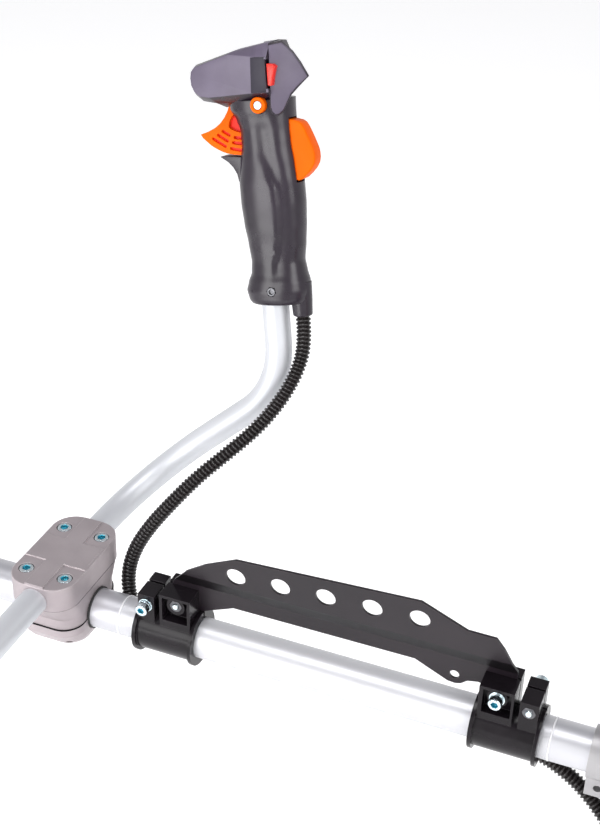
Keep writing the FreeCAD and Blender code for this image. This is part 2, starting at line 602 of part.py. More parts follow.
def make_crank():
    throw = size("crank_throw")
    front = rod(7.0, 36, (424, 0, 0))
    journal = rod(7.5, 71, (460, 0, 0))
    tail = rod(7.5, 43, (543, 0, 0))
    webs = [common(rod(29, 8, (x, 0, 0)), block(8, 60, 52, (x, -30, -30))) for x in (523, 543)]
    pin = rod(7, 12, (531, 0, throw))
    node("crankshaft", fuse(front, journal, tail, webs[0], webs[1], pin))
    blades = []
    for i in range(14):
        angle = 2 * math.pi * i / 14
        blade = block(18, 34, 2.4, (0, 0, 0))
        blade.Placement = FreeCAD.Placement(V(468, 32 * math.cos(angle), 32 * math.sin(angle)),
                                            FreeCAD.Rotation(V(1, 0, 0), math.degrees(angle) + 12))
        blades.append(blade)
    disc = turned([(462, 7.5), (462, 16), (470, 30), (484, 34), (486, 70), (490, 70), (490, 7.5)])
    node("flywheel_fan", cut(fuse(disc, *blades), rod(7.5, 60, (455, 0, 0))))


# ----------------------------------------------------------------- engine
def make_engine_core():
    fan_case = fuse(rod("#fan_radius", 52, (456, 0, 0)), block(52, 108, 100, (456, -54, 30)))
    fan_room = fuse(rod("#fan_radius - 3.5", 48.5, (459.5, 0, 0)), block(48.5, 101, 93, (459.5, -50.5, 33)))
    eye = rod(46, 6, (455, 0, 0))
    holes = [rod(2.1, 12, (450, y, z)) for y, z in flange_bolt_places()]
    node("fan_housing", cut(fan_case, fan_room, eye, *holes))
    case = fuse(rod(42, 58, (508, 0, 0)), rod("#fan_radius", 4, (508, 0, 0)),
                block(54, 58, 46, (510, -29, 0)), block(40, 60, 18, (514, -30, -54)))
    rooms = [rod(31, 32, (521, 0, 0)), rod(17.5, 60, (507, 0, 0)),
             rod("#cylinder_bore + 3", 50, (537, 0, 8), "z")]
    rooms.append(block(5.5, 170, 60, (507, -85, 40)))
    node("crankcase", cut(case, *rooms))
    fins = [block(48, 84, 2.2, (515, -42, 58 + 7.6 * i)) for i in range(8)]
    barrel = fuse(rod(24.5, 76, (537, 0, 46), "z"), block(52, 60, 6, (512.5, -30, 46)),
                  block(34, 22, 26, (520, -46, 58)), block(34, 26, 24, (520, 22, 60)), *fins)
    node("cylinder", cut(barrel, rod("#cylinder_bore", 58, (537, 0, 44), "z"),
                         block(16, 30, 12, (529, -48, 66)), block(16, 30, 10, (529, 18, 66)),
                         rod(5, 30, (537, 0, 100), "z")))
    piston = cut(rod("#cylinder_bore - 0.05", 26, (537, 0, 72), "z"), rod(17.5, 22, (537, 0, 71), "z"))
    node("piston", fuse(piston, rod(4, 38, (518, 0, 80))))
    node("connecting_rod", cut(fuse(rod(8, 9, (532.5, 0, 80)), block(9, 9, 52, (532.5, -4.5, 24)),
                                    block(9, 18, 5, (532.5, -9, 22.6))),
                               rod(4.04, 20, (527, 0, 80))))
    plug = fuse(rod(5, 15, (537, 0, 108), "z"), hexagon(8, 6, (537, 0, 122), "z"),
                rod(4.5, 12, (537, 0, 128), "z"))
    node("spark_plug", plug)
    boot = fuse(cut(rod(8, 14, (537, 0, 130), "z"), rod(4.6, 11, (537, 0, 129), "z")),
                rod(3.5, 26, (543, 0, 140), "x"))
    coil = fuse(block(14, 36, 22, (479, -18, 78)), block(8, 8, 10, (481, -17, 71)),
                block(8, 8, 10, (481, 9, 71)))
    node("ignition_module", group(coil, boot))


def make_engine_sides():
    muffler = fuse(block(52, 28, 58, (511, 52, 41)), block(34, 4.1, 24, (520, 48, 60)),
                   rod(5, 14, (556, 68, 60)))
    node("muffler", muffler)
    guard = cut(block(64, 10, 78, (509, 82, 36)), block(58, 8, 72, (512, 81, 39)))
    slots = [block(5, 10, 50, (515 + 11 * i, 84, 48)) for i in range(5)]
    stays = [block(6, 10, 6, (x, 80, z)) for x in (514, 554) for z in (44, 94)]
    node("muffler_guard", fuse(cut(guard, *slots), *stays))
    carb = fuse(block(38, 26, 36, (518, -72, 54)), rod(8, 14, (537, -59, 42), "z"),
                block(44, 4, 30, (515, -76, 58)))
    node("carburettor", cut(carb, rod(8, 60, (537, -90, 76), "y"), rod(3.05, 8, (527, -59, 83), "z"),
                            rod(3.05, 14, (514, -66, 61)), rod(8.9, 8, (552, -59, 64))))
    arm = fuse(rod(3, 12, (527, -59, 83.5), "z"), block(6, 18, 2.5, (524, -74, 91)),
               rod(3, 5, (527, -71, 92), "z"))
    node("throttle_arm", arm)
    choke = fuse(rod(3, 12, (512.5, -66, 61)), block(2.3, 8, 28, (512.5, -70, 37)),
                 rod(5, 2.3, (512.5, -66, 38)))
    node("choke_lever", choke)
    bulb = common(fuse(rod(8.6, 8, (556.5, -59, 64)), ball(8.6, (563, -59, 64))),
                  block(20, 20, 20, (556.5, -69, 54)))
    node("primer_bulb", bulb)
    cover = cut(block(84, 32, 84, (495, -110, 32)), block(78, 31, 78, (498, -107, 35)))
    ribs = [block(60, 2.5, 2, (507, -112, 46 + 9 * i)) for i in range(6)]
    knob = rod(9, 8, (537, -118, 100), "y")
    socket = cut(rod(8, 12, (508, -94, 20), "z"), rod(5.45, 14, (508, -94, 19), "z"))
    node("air_filter_cover", fuse(cover, knob, socket, *ribs))
    node("air_filter_foam", block(70, 16, 70, (502, -97, 39)))


def make_engine_ends():
    outer = turned([(566.1, 0), (566.1, "#starter_radius"), (590, "#starter_radius"), (602, 54), (606, 40),
                    (606, 0)])
    inner = rod("#starter_radius - 4", 34, (566, 0, 0))
    slots = [rod(3, 20, (595, 30 * math.cos(a), 30 * math.sin(a)))
             for a in (2 * math.pi * i / 12 for i in range(12))]
    outlet = block(20, 22, 26, (582, 16, 50))
    case = cut(fuse(outer, outlet), inner, rod(3.3, 60, (592, 27, 30), "z"), *slots)
    node("starter_housing", fuse(case, rod(2.95, 20, (586.5, 0, 0))))
    pulley = turned([(588, 3.0), (588, 34), (590, 34), (592, 30), (594, 34), (596, 34), (596, 3.0)])
    node("starter_pulley", cut(pulley, rod(3, 20, (580, 18, 0)), rod(3, 20, (580, -18, 0))))
    handle = fuse(rod(2.5, 36, (592, 27, 46), "z"), cone(8, 6, 8, (592, 27, 76.3), "z"),
                  rod(7, 50, (592, 2, 89), "y"), ball(7, (592, 2, 89)), ball(7, (592, 52, 89)))
    node("starter_handle", handle)


def make_tank_and_cover():
    drop = size("base_drop")
    hull = loft(moved_rectangle(108, 150, 26, 571, -118), moved_rectangle(118, 160, 30, 571, -104),
                moved_rectangle(118, 160, 30, 571, -80), moved_rectangle(100, 140, 26, 571, -66))
    room = loft(moved_rectangle(102, 144, 24, 571, -115), moved_rectangle(112, 154, 28, 571, -104),
                moved_rectangle(112, 154, 28, 571, -80), moved_rectangle(96, 136, 24, 571, -69))
    neck = Part.makeCylinder(17, 20, V(600, -66, -96), V(0, -1, 0))
    mouth = Part.makeCylinder(13, 40, V(600, -56, -96), V(0, -1, 0))
    skids = [Part.makeBox(150, 14, drop - 117, V(478, y, -drop)) for y in (-68, 54)]
    bridge = Part.makeBox(14, 136, 8, V(490, -68, -drop + 8))
    shelf = Part.makeBox(30, 60, 14, V(520, -30, -68))
    tank = hull.cut(room).fuse([neck, bridge, shelf] + skids).cut(mouth)
    node("fuel_tank", shape_of(largest(tank)))
    cap = fuse(rod(20, 12, (600, -98.2, -96), "y"), rod(12.9, 14, (600, -86.4, -96), "y"),
               block(34, 4, 8, (583, -101.5, -100)))
    node("fuel_cap", cap)
    shell = loft(moved_rectangle(72, 102, 16, 544.6, 100), moved_rectangle(71, 96, 18, 544.6, 134),
                 moved_rectangle(56, 72, 18, 543, 153))
    hollow = loft(moved_rectangle(66, 96, 13, 544.6, 99), moved_rectangle(65, 90, 15, 544.6, 133),
                  moved_rectangle(50, 66, 15, 543, 150))
    cover = shell.cut(hollow)
    for i in range(4):
        cover = cover.cut(Part.makeBox(42, 120, 3, V(524, -60, 107 + 6 * i)))
    node("engine_cover", shape_of(largest(cover)))


def moved_rectangle(length_x, length_y, corner, x, z):
    """Rounded rectangle about a point on the X axis, at a height."""
    wire = rounded_rectangle(length_x, length_y, corner, z)
    wire.translate(V(x, 0, 0))
    return wire


# ----------------------------------------------------------------- gear head, guard and cutting head
def head_frame():
    """Placement whose +Z runs down the output shaft from the gear apex; +X points to the operator."""
    tilt = math.radians(size("head_tilt"))
    c, k = math.cos(tilt), math.sin(tilt)
    return FreeCAD.Placement(FreeCAD.Matrix(c, 0, -k, size("gear_apex_x"),
                                            0, -1, 0, 0, -k, 0, -c, 0, 0, 0, 0, 1))


HEAD = head_frame()


def guard_bolt_places():
    """The four (x, y) places of the guard's screws in the head frame."""
    reach = 26 * math.sqrt(0.5)
    return [(sx * reach, sy * reach) for sx in (-1, 1) for sy in (-1, 1)]


def make_gear_head():
    apex_x = size("gear_apex_x")
    collar = Part.makeCylinder(18.5, 60, V(apex_x, 0, 0), V(1, 0, 0))
    dome = Part.makeSphere(26, V(apex_x + 2, 0, 2))
    out = HEAD.Rotation.multVec(V(0, 0, 1))
    apex = V(apex_x, 0, 0)
    column = Part.makeCylinder(23, 58, apex - out * 26, out)
    flange = Part.makeCylinder(30, 5, apex + out * 27, out)
    body = collar.fuse([dome, column, flange])
    rooms = [Part.makeCylinder(14.03, 40, V(apex_x + 33, 0, 0), V(1, 0, 0)),
             Part.makeCylinder(13.0, 30, V(apex_x + 24, 0, 0), V(1, 0, 0)),
             Part.makeCylinder(13.6, 22, V(apex_x + 3, 0, 0), V(1, 0, 0)),
             Part.makeCylinder(18.4, 29, apex - out * 21, out),
             Part.makeCylinder(13.0, 60, apex + out * 7, out)]
    body = body.cut(rooms)
    for x, y in guard_bolt_places():
        body = body.cut(Part.makeCylinder(1.9, 8, HEAD.multVec(V(x, y, 26)), out))
    node("gear_head", shape_of(largest(body)))

    pinion = turned([(apex_x + 12.6, 0), (apex_x + 12.6, 6.5), (apex_x + 22.6, 12.0), (apex_x + 22.6, 5.0),
                     (apex_x + 37.9, 5.0), (apex_x + 37.9, 0)])
    gaps = [tooth_gap((apex_x + 12, 6.2), 28.8, 1.2, -1.3, 360 / 14 * i) for i in range(14)]
    node("drive_pinion", cut(pinion, *gaps))
    gear = turned([(-21, 0), (-21, 5.0), (-19.4, 5.0), (-19.4, 16.6), (-10.6, 9.0), (-10.6, 5.0),
                   (48, 5.0), (48, 0)])
    gaps = [tooth_gap((-10, 8.5), 220.8, 1.3, -3, 360 / 19 * i) for i in range(19)]
    down_output = FreeCAD.Placement(V(0, 0, 0), FreeCAD.Rotation(V(0, 1, 0), -90))
    node("driven_gear", cut(gear, *gaps), HEAD.multiply(down_output))


def tooth_gap(start, slope, width, low, angle):
    """Groove between two bevel teeth about the X axis, as a slim block along the cone."""
    gap = block(30, width, 4.3, (0, 0, 0))
    spin = FreeCAD.Placement(V(0, 0, 0), FreeCAD.Rotation(V(1, 0, 0), angle))
    pitch = -slope if slope < 90 else slope
    lean = FreeCAD.Placement(V(start[0], 0, start[1]), FreeCAD.Rotation(V(0, 1, 0), pitch))
    gap.Placement = spin.multiply(lean).multiply(FreeCAD.Placement(V(0, -width / 2, low), FreeCAD.Rotation()))
    return gap


def sector(radius, thickness, low, half_angle):
    """Round sector in the head frame, opening towards the operator."""
    a = math.radians(half_angle)
    points = [V(0, 0, low)] + [V(radius * math.cos(t), radius * math.sin(t), low)
                               for t in (-a + 2 * a * i / 24 for i in range(25))]
    return Part.Face(Part.makePolygon(points + points[:1])).extrude(V(0, 0, thickness))


def make_guard():
    radius, half = size("guard_radius"), 62
    deck = Part.makeCylinder(radius, 3.5, V(0, 0, 32.1)).common(sector(radius * 1.2, 10, 30, half))
    deck = deck.fuse(Part.makeCylinder(31, 3.5, V(0, 0, 32.1)))
    rim = Part.makeCylinder(radius, 56.8, V(0, 0, 32.1)).cut(Part.makeCylinder(radius - 3, 60, V(0, 0, 32)))
    rim = rim.common(sector(radius * 1.2, 70, 30, half))
    hub = Part.makeCylinder(24.0, 12, V(0, 0, 30))
    shell = deck.fuse(rim).cut(hub)
    for x, y in guard_bolt_places():
        shell = shell.cut(Part.makeCylinder(2.2, 12, V(x, y, 28)))
    for i in (-2, -1, 1, 2):
        rib = Part.makeBox(radius - 45, 2.5, 8, V(40, -1.25, 35))
        rib.rotate(V(0, 0, 0), V(0, 0, 1), i * 22)
        shell = shell.fuse(rib)
    node("guard", shape_of(largest(shell)), HEAD)
    blade = Part.makeBox(2, 16, 16, V(radius - 11, -8, 62))
    blade = blade.fuse(Part.makeBox(7.6, 10, 2, V(radius - 11, -5, 62)))
    blade.rotate(V(0, 0, 0), V(0, 0, 1), half - 6)
    node("line_cutter", shape_of(blade), HEAD)


def make_cutting_head():
    cup = Part.makeCone(46, 54, 12, V(0, 0, 50)).fuse(Part.makeCylinder(54, 26, V(0, 0, 62)))
    cup = cup.fuse(Part.makeCylinder(22, 16, V(0, 0, 38)))
    cup = cup.cut(Part.makeCylinder(48, 32, V(0, 0, 58))).cut(Part.makeCylinder(5.0, 30, V(0, 0, 30)))
    for i in range(12):
        dent = Part.makeCylinder(4, 40, V(57, 0, 50))
        dent.rotate(V(0, 0, 0), V(0, 0, 1), 15 + 30 * i)
        cup = cup.cut(dent)
    eyelets = Part.makeCylinder(2.2, 140, V(0, -70, 72), V(0, 1, 0))
    node("head_housing", shape_of(largest(cup.cut(eyelets))), HEAD)
    spool = Part.makeCylinder(44, 3, V(0, 0, 60)).fuse(Part.makeCylinder(44, 3, V(0, 0, 82)))
    spool = spool.fuse(Part.makeCylinder(28, 25, V(0, 0, 60))).cut(Part.makeCylinder(16, 30, V(0, 0, 58)))
    node("line_spool", shape_of(spool), HEAD)
    reach = size("line_reach")
    wound = Part.makeCylinder(40, 18, V(0, 0, 63.4)).cut(Part.makeCylinder(28.2, 18, V(0, 0, 63.4)))
    ends = [Part.makeCylinder(1.2, reach - 39, V(0, s * 39, 72), V(0, s, 0)) for s in (1, -1)]
    node("trimmer_line", shape_of(wound.fuse(ends)), HEAD)
    knob = Part.makeCylinder(24, 10, V(0, 0, 96)).fuse(Part.makeCylinder(14, 34, V(0, 0, 66)))
    knob = knob.fuse(Part.makeCone(24, 18, 6, V(0, 0, 106)))
    node("bump_knob", shape_of(knob), HEAD)


def make_fasteners():
    """Four screws through the guard and four through the clutch housing's flange."""
    out = HEAD.Rotation.multVec(V(0, 0, 1))
    screws = [fuse(rod(4.2, 4, (446, y, z)), rod(2.05, 10, (449.5, y, z))) for y, z in flange_bolt_places()]
    for x, y in guard_bolt_places():
        spot = HEAD.multVec(V(x, y, 35.6))
        screws.append(fuse(rod(3.2, 2.6, tuple(spot), out), rod(1.85, 9, tuple(spot - out * 8.9), out)))
    node("housing_screws", group(*screws))


for make in (make_shaft, make_clamp, make_handlebar, make_grip, make_conduit, make_hanger, make_plate,
             make_clutch, make_crank, make_engine_core, make_engine_sides, make_engine_ends,
             make_tank_and_cover, make_gear_head, make_guard, make_cutting_head, make_fasteners):
    make()

doc.recompute()
for obj in doc.Objects:
    if "Invalid" in obj.State or "Error" in obj.State:
        raise RuntimeError("failed: %s %s" % (obj.Label, obj.State))
os.makedirs("parts", exist_ok=True)
bad = [name for name, obj in NODES.items()
       if obj.Shape.isNull() or not obj.Shape.isValid() or not obj.Shape.Solids]
if bad:
    raise RuntimeError("bad shapes: " + ", ".join(bad))
for name, obj in NODES.items():
    obj.Shape.exportStep("parts/%s.step" % name)
print("nodes", len(NODES))
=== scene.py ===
import math

import bmesh
import bpy
from mathutils import Matrix, Vector


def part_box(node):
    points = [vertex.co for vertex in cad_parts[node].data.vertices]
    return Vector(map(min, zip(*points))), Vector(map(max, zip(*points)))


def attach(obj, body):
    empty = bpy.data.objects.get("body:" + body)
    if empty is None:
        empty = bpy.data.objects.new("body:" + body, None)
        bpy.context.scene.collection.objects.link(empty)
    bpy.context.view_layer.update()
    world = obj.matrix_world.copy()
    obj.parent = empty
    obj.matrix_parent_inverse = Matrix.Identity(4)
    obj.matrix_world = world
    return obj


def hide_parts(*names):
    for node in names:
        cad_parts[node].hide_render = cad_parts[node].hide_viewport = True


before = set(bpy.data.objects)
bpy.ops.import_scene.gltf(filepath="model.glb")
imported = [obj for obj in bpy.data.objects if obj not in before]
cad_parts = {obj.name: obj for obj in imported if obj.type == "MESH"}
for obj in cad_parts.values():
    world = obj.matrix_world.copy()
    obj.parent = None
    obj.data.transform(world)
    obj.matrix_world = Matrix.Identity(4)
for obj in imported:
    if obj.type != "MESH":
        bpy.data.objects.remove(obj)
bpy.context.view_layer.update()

MM = 0.001


# ----------------------------------------------------------------- places, worked out from the frame
def middle(node):
    low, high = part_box(node)
    return (low + high) / 2


SHAFT = middle("shaft_tube")
CLAMP = Vector((middle("clamp_top_cap").x, SHAFT.y, SHAFT.z))


def at(x, y, z):
    """A point given in millimetres from where the handlebar clamp crosses the shaft."""
    return CLAMP + Vector((x, y, z)) * MM


def axes(origin, x, y, z, unit=MM):
    """Matrix that takes local coordinates, in millimetres, to the row frame."""
    x, y, z = (Vector(v) * unit for v in (x, y, z))
    return Matrix([[x[i], y[i], z[i], origin[i]] for i in range(3)] + [[0, 0, 0, 1]])


def axes_along(origin, direction, hint=(0, 0, 1)):
    """Local frame in millimetres whose Z runs along a direction."""
    z = Vector(direction).normalized()
    x = Vector(hint).cross(z)
    if x.length < 1e-3:
        x = Vector((0, 1, 0)).cross(z)
    x.normalize()
    return axes(origin, x, z.cross(x), z)


CLAMP_FRAME = axes(CLAMP, (1, 0, 0), (0, 1, 0), (0, 0, 1))
ARM_KNEE = Vector((106.6, 130.1, 127.5))      # last bend and end of the throttle side of the bar
ARM_END = Vector((82.3, 156.9, 255.9))
GRIP_ON_ARM = 63.3                            # distance from the bend to the foot of the grip
GRIP_UP = (ARM_END - ARM_KNEE).normalized()
GRIP_AWAY = (Vector((0, 1, 0)) - GRIP_UP * GRIP_UP.y).normalized()
GRIP_BACK = GRIP_AWAY.cross(GRIP_UP).normalized()
GRIP = axes(at(*(ARM_KNEE + GRIP_UP * GRIP_ON_ARM)), GRIP_BACK, GRIP_AWAY, GRIP_UP)


# ----------------------------------------------------------------- materials
class Nodes:
    """Short hand for a material's node tree."""

    def __init__(self, name):
        self.material = bpy.data.materials.new(name)
        self.material.use_nodes = True
        self.tree = self.material.node_tree
        self.shader = self.tree.nodes["Principled BSDF"]
        self.place = self.add("ShaderNodeTexCoord").outputs["Object"]

    def add(self, kind, **values):
        node = self.tree.nodes.new(kind)
        for key, value in values.items():
            setattr(node, key, value)
        return node

    def join(self, a, b):
        self.tree.links.new(a, b)

    def noise(self, scale, detail=3.0, rough=0.55, stretch=None):
        node = self.add("ShaderNodeTexNoise")
        node.inputs["Scale"].default_value = scale
        node.inputs["Detail"].default_value = detail
        node.inputs["Roughness"].default_value = rough
        if stretch:
            mapping = self.add("ShaderNodeMapping")
            mapping.inputs["Scale"].default_value = stretch
            self.join(self.place, mapping.inputs["Vector"])
            self.join(mapping.outputs["Vector"], node.inputs["Vector"])
        else:
            self.join(self.place, node.inputs["Vector"])
        return node.outputs["Fac"]

    def spread(self, value, low, high, to_low=0.0, to_high=1.0):
        node = self.add("ShaderNodeMapRange")
        for key, number in (("From Min", low), ("From Max", high), ("To Min", to_low), ("To Max", to_high)):
            node.inputs[key].default_value = number
        self.join(value, node.inputs["Value"])
        return node.outputs["Result"]

    def mixed(self, factor, a, b):
        node = self.add("ShaderNodeMix", data_type="RGBA")
        self.join(factor, node.inputs["Factor"])
        for socket, colour in ((node.inputs[6], a), (node.inputs[7], b)):
            if isinstance(colour, tuple):
                socket.default_value = (*colour, 1)
            else:
                self.join(colour, socket)
        return node.outputs[2]

    def edges(self, radius):
        """1 along sharp edges and 0 on flats, and the normal rounded over those edges."""
        bevel = self.add("ShaderNodeBevel", samples=4)
        bevel.inputs["Radius"].default_value = radius
        dot = self.add("ShaderNodeVectorMath", operation="DOT_PRODUCT")
        self.join(bevel.outputs["Normal"], dot.inputs[0])
        self.join(self.add("ShaderNodeNewGeometry").outputs["Normal"], dot.inputs[1])
        return self.spread(dot.outputs["Value"], 0.98, 0.75), bevel.outputs["Normal"]

    def bump(self, height, strength, distance, normal=None):
        node = self.add("ShaderNodeBump")
        node.inputs["Strength"].default_value = strength
        node.inputs["Distance"].default_value = distance
        self.join(height, node.inputs["Height"])
        if normal is not None:
            self.join(normal, node.inputs["Normal"])
        self.join(node.outputs["Normal"], self.shader.inputs["Normal"])
        return node.outputs["Normal"]


def surface(name, tones, rough, metallic=0.0, grain=900.0, depth=0.00004, strength=0.25, patch=18.0,
            edge=None, edge_radius=0.0006, coat=0.0, stretch=None, specular=0.5):
    """A solid finish: two tones that drift into each other, fine grain, and lighter edges."""
    n = Nodes(name)
    shader = n.shader
    shader.inputs["Metallic"].default_value = metallic
    shader.inputs["Specular IOR Level"].default_value = specular
    if coat:
        shader.inputs["Coat Weight"].default_value = coat
        shader.inputs["Coat Roughness"].default_value = 0.12
    drift = n.spread(n.noise(patch, 4), 0.32, 0.68)
    colour = n.mixed(drift, tones[0], tones[1])
    fine = n.noise(grain, 2, stretch=stretch)
    edge_mask, round_normal = n.edges(edge_radius)
    if edge:
        share = n.add("ShaderNodeMath", operation="MULTIPLY")
        n.join(edge_mask, share.inputs[0])
        n.join(n.spread(n.noise(140, 3), 0.35, 0.6, 0.25, 0.9), share.inputs[1])
        colour = n.mixed(share.outputs[0], colour, edge)
    n.join(colour, shader.inputs["Base Color"])
    n.join(n.spread(n.noise(patch * 3.5, 5), 0.3, 0.7, rough[0], rough[1]), shader.inputs["Roughness"])
    n.bump(fine, strength, depth, round_normal)
    return n.material


def make_materials():
    m = {}
    m["tube"] = surface("satin_aluminium", ((0.61, 0.622, 0.655), (0.66, 0.674, 0.705)), (0.42, 0.50), 0.45,
                        grain=1400, strength=0.10, patch=7, stretch=(0.15, 1, 1))
    m["shaft"] = surface("shaft_aluminium", ((0.55, 0.55, 0.583), (0.60, 0.60, 0.632)), (0.34, 0.42), 0.6,
                         grain=1500, strength=0.10, patch=6, stretch=(0.05, 1, 1))
    m["cast"] = surface("clamp_casting", ((0.36, 0.315, 0.33), (0.43, 0.38, 0.395)), (0.40, 0.54), 0.55,
                        grain=620, depth=0.00012, strength=0.42, patch=26, edge=(0.86, 0.80, 0.80),
                        edge_radius=0.0007)
    m["alloy"] = surface("engine_alloy", ((0.36, 0.355, 0.365), (0.43, 0.42, 0.43)), (0.36, 0.52), 0.7,
                         grain=520, depth=0.00012, strength=0.38, patch=20, edge=(0.83, 0.82, 0.82),
                         edge_radius=0.0008)
    m["zinc"] = surface("blue_zinc", ((0.60, 0.74, 0.80), (0.80, 0.86, 0.88)), (0.16, 0.3), 1.0,
                        grain=1100, strength=0.12, patch=190, edge=(0.93, 0.95, 0.96), edge_radius=0.0003)
    # darker, deeper blue for inside the hex sockets: painted shade over the zinc's blue tint
    m["socket"] = surface("zinc_socket_painted_shade", ((0.05, 0.36, 0.48), (0.16, 0.52, 0.60)), (0.2, 0.34), 0.9,
                          grain=1100, strength=0.1, patch=320)
    # darker steel: the grip's foot screw, and painted shade for the nuts deep in the brackets' hex pockets
    m["dark_screw"] = surface("dark_steel_and_pocket_shade", ((0.10, 0.10, 0.11), (0.17, 0.17, 0.18)), (0.3, 0.42), 0.9,
                              grain=1000, strength=0.15, patch=240, edge=(0.45, 0.46, 0.48),
                              edge_radius=0.0002)
    m["steel"] = surface("machined_steel", ((0.36, 0.36, 0.37), (0.46, 0.45, 0.45)), (0.25, 0.4), 1.0,
                         grain=900, strength=0.15, patch=60, edge=(0.75, 0.75, 0.76), edge_radius=0.0003)
    m["plate"] = surface("satin_black_paint", ((0.009, 0.006, 0.009), (0.015, 0.010, 0.014)), (0.32, 0.40),
                         0.0, grain=1300, depth=0.00005, strength=0.22, patch=14, edge=(0.12, 0.10, 0.115),
                         edge_radius=0.0005, specular=0.36)
    m["heat"] = surface("heat_stained_steel", ((0.42, 0.37, 0.31), (0.50, 0.47, 0.45)), (0.34, 0.5), 0.95,
                        grain=700, strength=0.25, patch=30, edge=(0.7, 0.68, 0.66))
    m["black"] = surface("black_moulding", ((0.010, 0.006, 0.012), (0.016, 0.009, 0.019)), (0.25, 0.33), 0.0,
                         grain=1500, depth=0.00004, strength=0.22, patch=20, edge=(0.09, 0.075, 0.095),
                         edge_radius=0.0005, specular=0.55)
    # lighter than the black moulding: partly a fine-textured finish, partly painted highlight where the key
    # light catches the cheeks
    m["panel"] = surface("spark_panel_painted_lit", ((0.085, 0.068, 0.105), (0.115, 0.094, 0.142)), (0.38, 0.46),
                         0.0, grain=1700, depth=0.00003, strength=0.2, patch=32, edge=(0.15, 0.13, 0.17),
                         edge_radius=0.0003, specular=0.45)
    m["dark_strip"] = surface("dark_strip", ((0.020, 0.017, 0.028), (0.028, 0.024, 0.036)), (0.45, 0.55), 0.0,
                              grain=1500, depth=0.00004, strength=0.2, patch=30, specular=0.3)
    m["gloss_black"] = surface("glossy_black_moulding", ((0.006, 0.0045, 0.006), (0.010, 0.0075, 0.010)),
                               (0.16, 0.26), 0.0, grain=700, depth=0.00005, strength=0.16, patch=40,
                               edge=(0.07, 0.06, 0.068), edge_radius=0.0006, specular=0.22)
    m["case"] = surface("engine_case_plastic", ((0.022, 0.022, 0.025), (0.030, 0.030, 0.034)), (0.38, 0.52),
                        0.0, grain=1200, depth=0.00008, strength=0.4, patch=16, edge=(0.09, 0.09, 0.1),
                        edge_radius=0.0008)
    m["rubber"] = surface("grip_rubber", ((0.018, 0.018, 0.019), (0.028, 0.027, 0.028)), (0.6, 0.78), 0.0,
                          grain=1500, depth=0.00008, strength=0.5, patch=40, edge=(0.06, 0.06, 0.06))
    m["conduit"] = surface("conduit_plastic", ((0.008, 0.006, 0.006), (0.013, 0.010, 0.010)), (0.20, 0.30),
                           0.0, grain=1400, strength=0.1, patch=40, edge_radius=0.0002, specular=0.5)
    m["orange"] = surface("orange_moulding", ((0.80, 0.105, 0.0008), (0.86, 0.125, 0.0015)), (0.36, 0.46),
                          0.0, grain=1200, depth=0.00004, strength=0.2, patch=24, edge=(1.0, 0.30, 0.02),
                          edge_radius=0.0005, specular=0.05)
    m["recess"] = surface("orange_in_shade", ((0.80, 0.010, 0.001), (0.88, 0.022, 0.002)), (0.4, 0.5), 0.0,
                          grain=1200, strength=0.15, patch=30, specular=0.25)
    m["red"] = surface("red_rocker", ((0.72, 0.012, 0.006), (0.80, 0.022, 0.010)), (0.26, 0.36), 0.0,
                       grain=1300, strength=0.12, patch=60, edge=(1.0, 0.16, 0.08), edge_radius=0.0004)
    m["tank"] = surface("milky_polyethylene", ((0.60, 0.585, 0.53), (0.70, 0.685, 0.64)), (0.38, 0.5), 0.0,
                        grain=700, depth=0.0001, strength=0.3, patch=9)
    m["tank"].node_tree.nodes["Principled BSDF"].inputs["Subsurface Weight"].default_value = 0.15
    m["ceramic"] = surface("white_ceramic", ((0.80, 0.80, 0.78), (0.86, 0.86, 0.85)), (0.12, 0.2), 0.0,
                           strength=0.08)
    m["foam"] = surface("filter_foam", ((0.03, 0.03, 0.03), (0.08, 0.08, 0.08)), (0.9, 1.0), 0.0,
                        grain=700, depth=0.0006, strength=0.9, patch=300)
    m["line"] = surface("orange_nylon", ((0.85, 0.30, 0.02), (0.95, 0.40, 0.05)), (0.2, 0.32), 0.0,
                        grain=400, strength=0.15, patch=80)
    m["bulb"] = surface("primer_rubber", ((0.55, 0.30, 0.10), (0.66, 0.40, 0.16)), (0.12, 0.22), 0.0,
                        grain=900, strength=0.1, patch=60)
    # painted shade in the hairline joints where the clamp castings meet
    with_painted_shade_bands(m["cast"], (SHAFT.z + 0.02195, SHAFT.z))
    # painted shade: a dark band along the fold of the hanging plate
    with_painted_shade_bands(m["plate"], (SHAFT.z + 0.0463,), 0.0042, (0.003, 0.002, 0.003))
    m["film"] = clear_film()
    m["film_edge"] = surface("gathered_film", ((0.84, 0.84, 0.87), (0.92, 0.92, 0.94)), (0.2, 0.35), 0.0,
                             grain=700, strength=0.2, patch=120)
    return m


def with_painted_shade_bands(material, heights, half=0.00028, dark=(0.02, 0.018, 0.02)):
    """Painted shade: darkens thin level bands, such as the gaps where castings meet and the fold of the
    plate.
    """
    tree = material.node_tree
    shader = tree.nodes["Principled BSDF"]
    place = tree.nodes.new("ShaderNodeTexCoord")
    split = tree.nodes.new("ShaderNodeSeparateXYZ")
    tree.links.new(place.outputs["Object"], split.inputs[0])
    colour = shader.inputs["Base Color"].links[0].from_socket
    for height in heights:
        away = tree.nodes.new("ShaderNodeMath")
        away.operation = "COMPARE"
        away.inputs[1].default_value, away.inputs[2].default_value = height, half
        tree.links.new(split.outputs["Z"], away.inputs[0])
        mix = tree.nodes.new("ShaderNodeMix")
        mix.data_type = "RGBA"
        mix.inputs[7].default_value = (*dark, 1)
        tree.links.new(away.outputs[0], mix.inputs["Factor"])
        tree.links.new(colour, mix.inputs[6])
        colour = mix.outputs[2]
    tree.links.new(colour, shader.inputs["Base Color"])
    return material


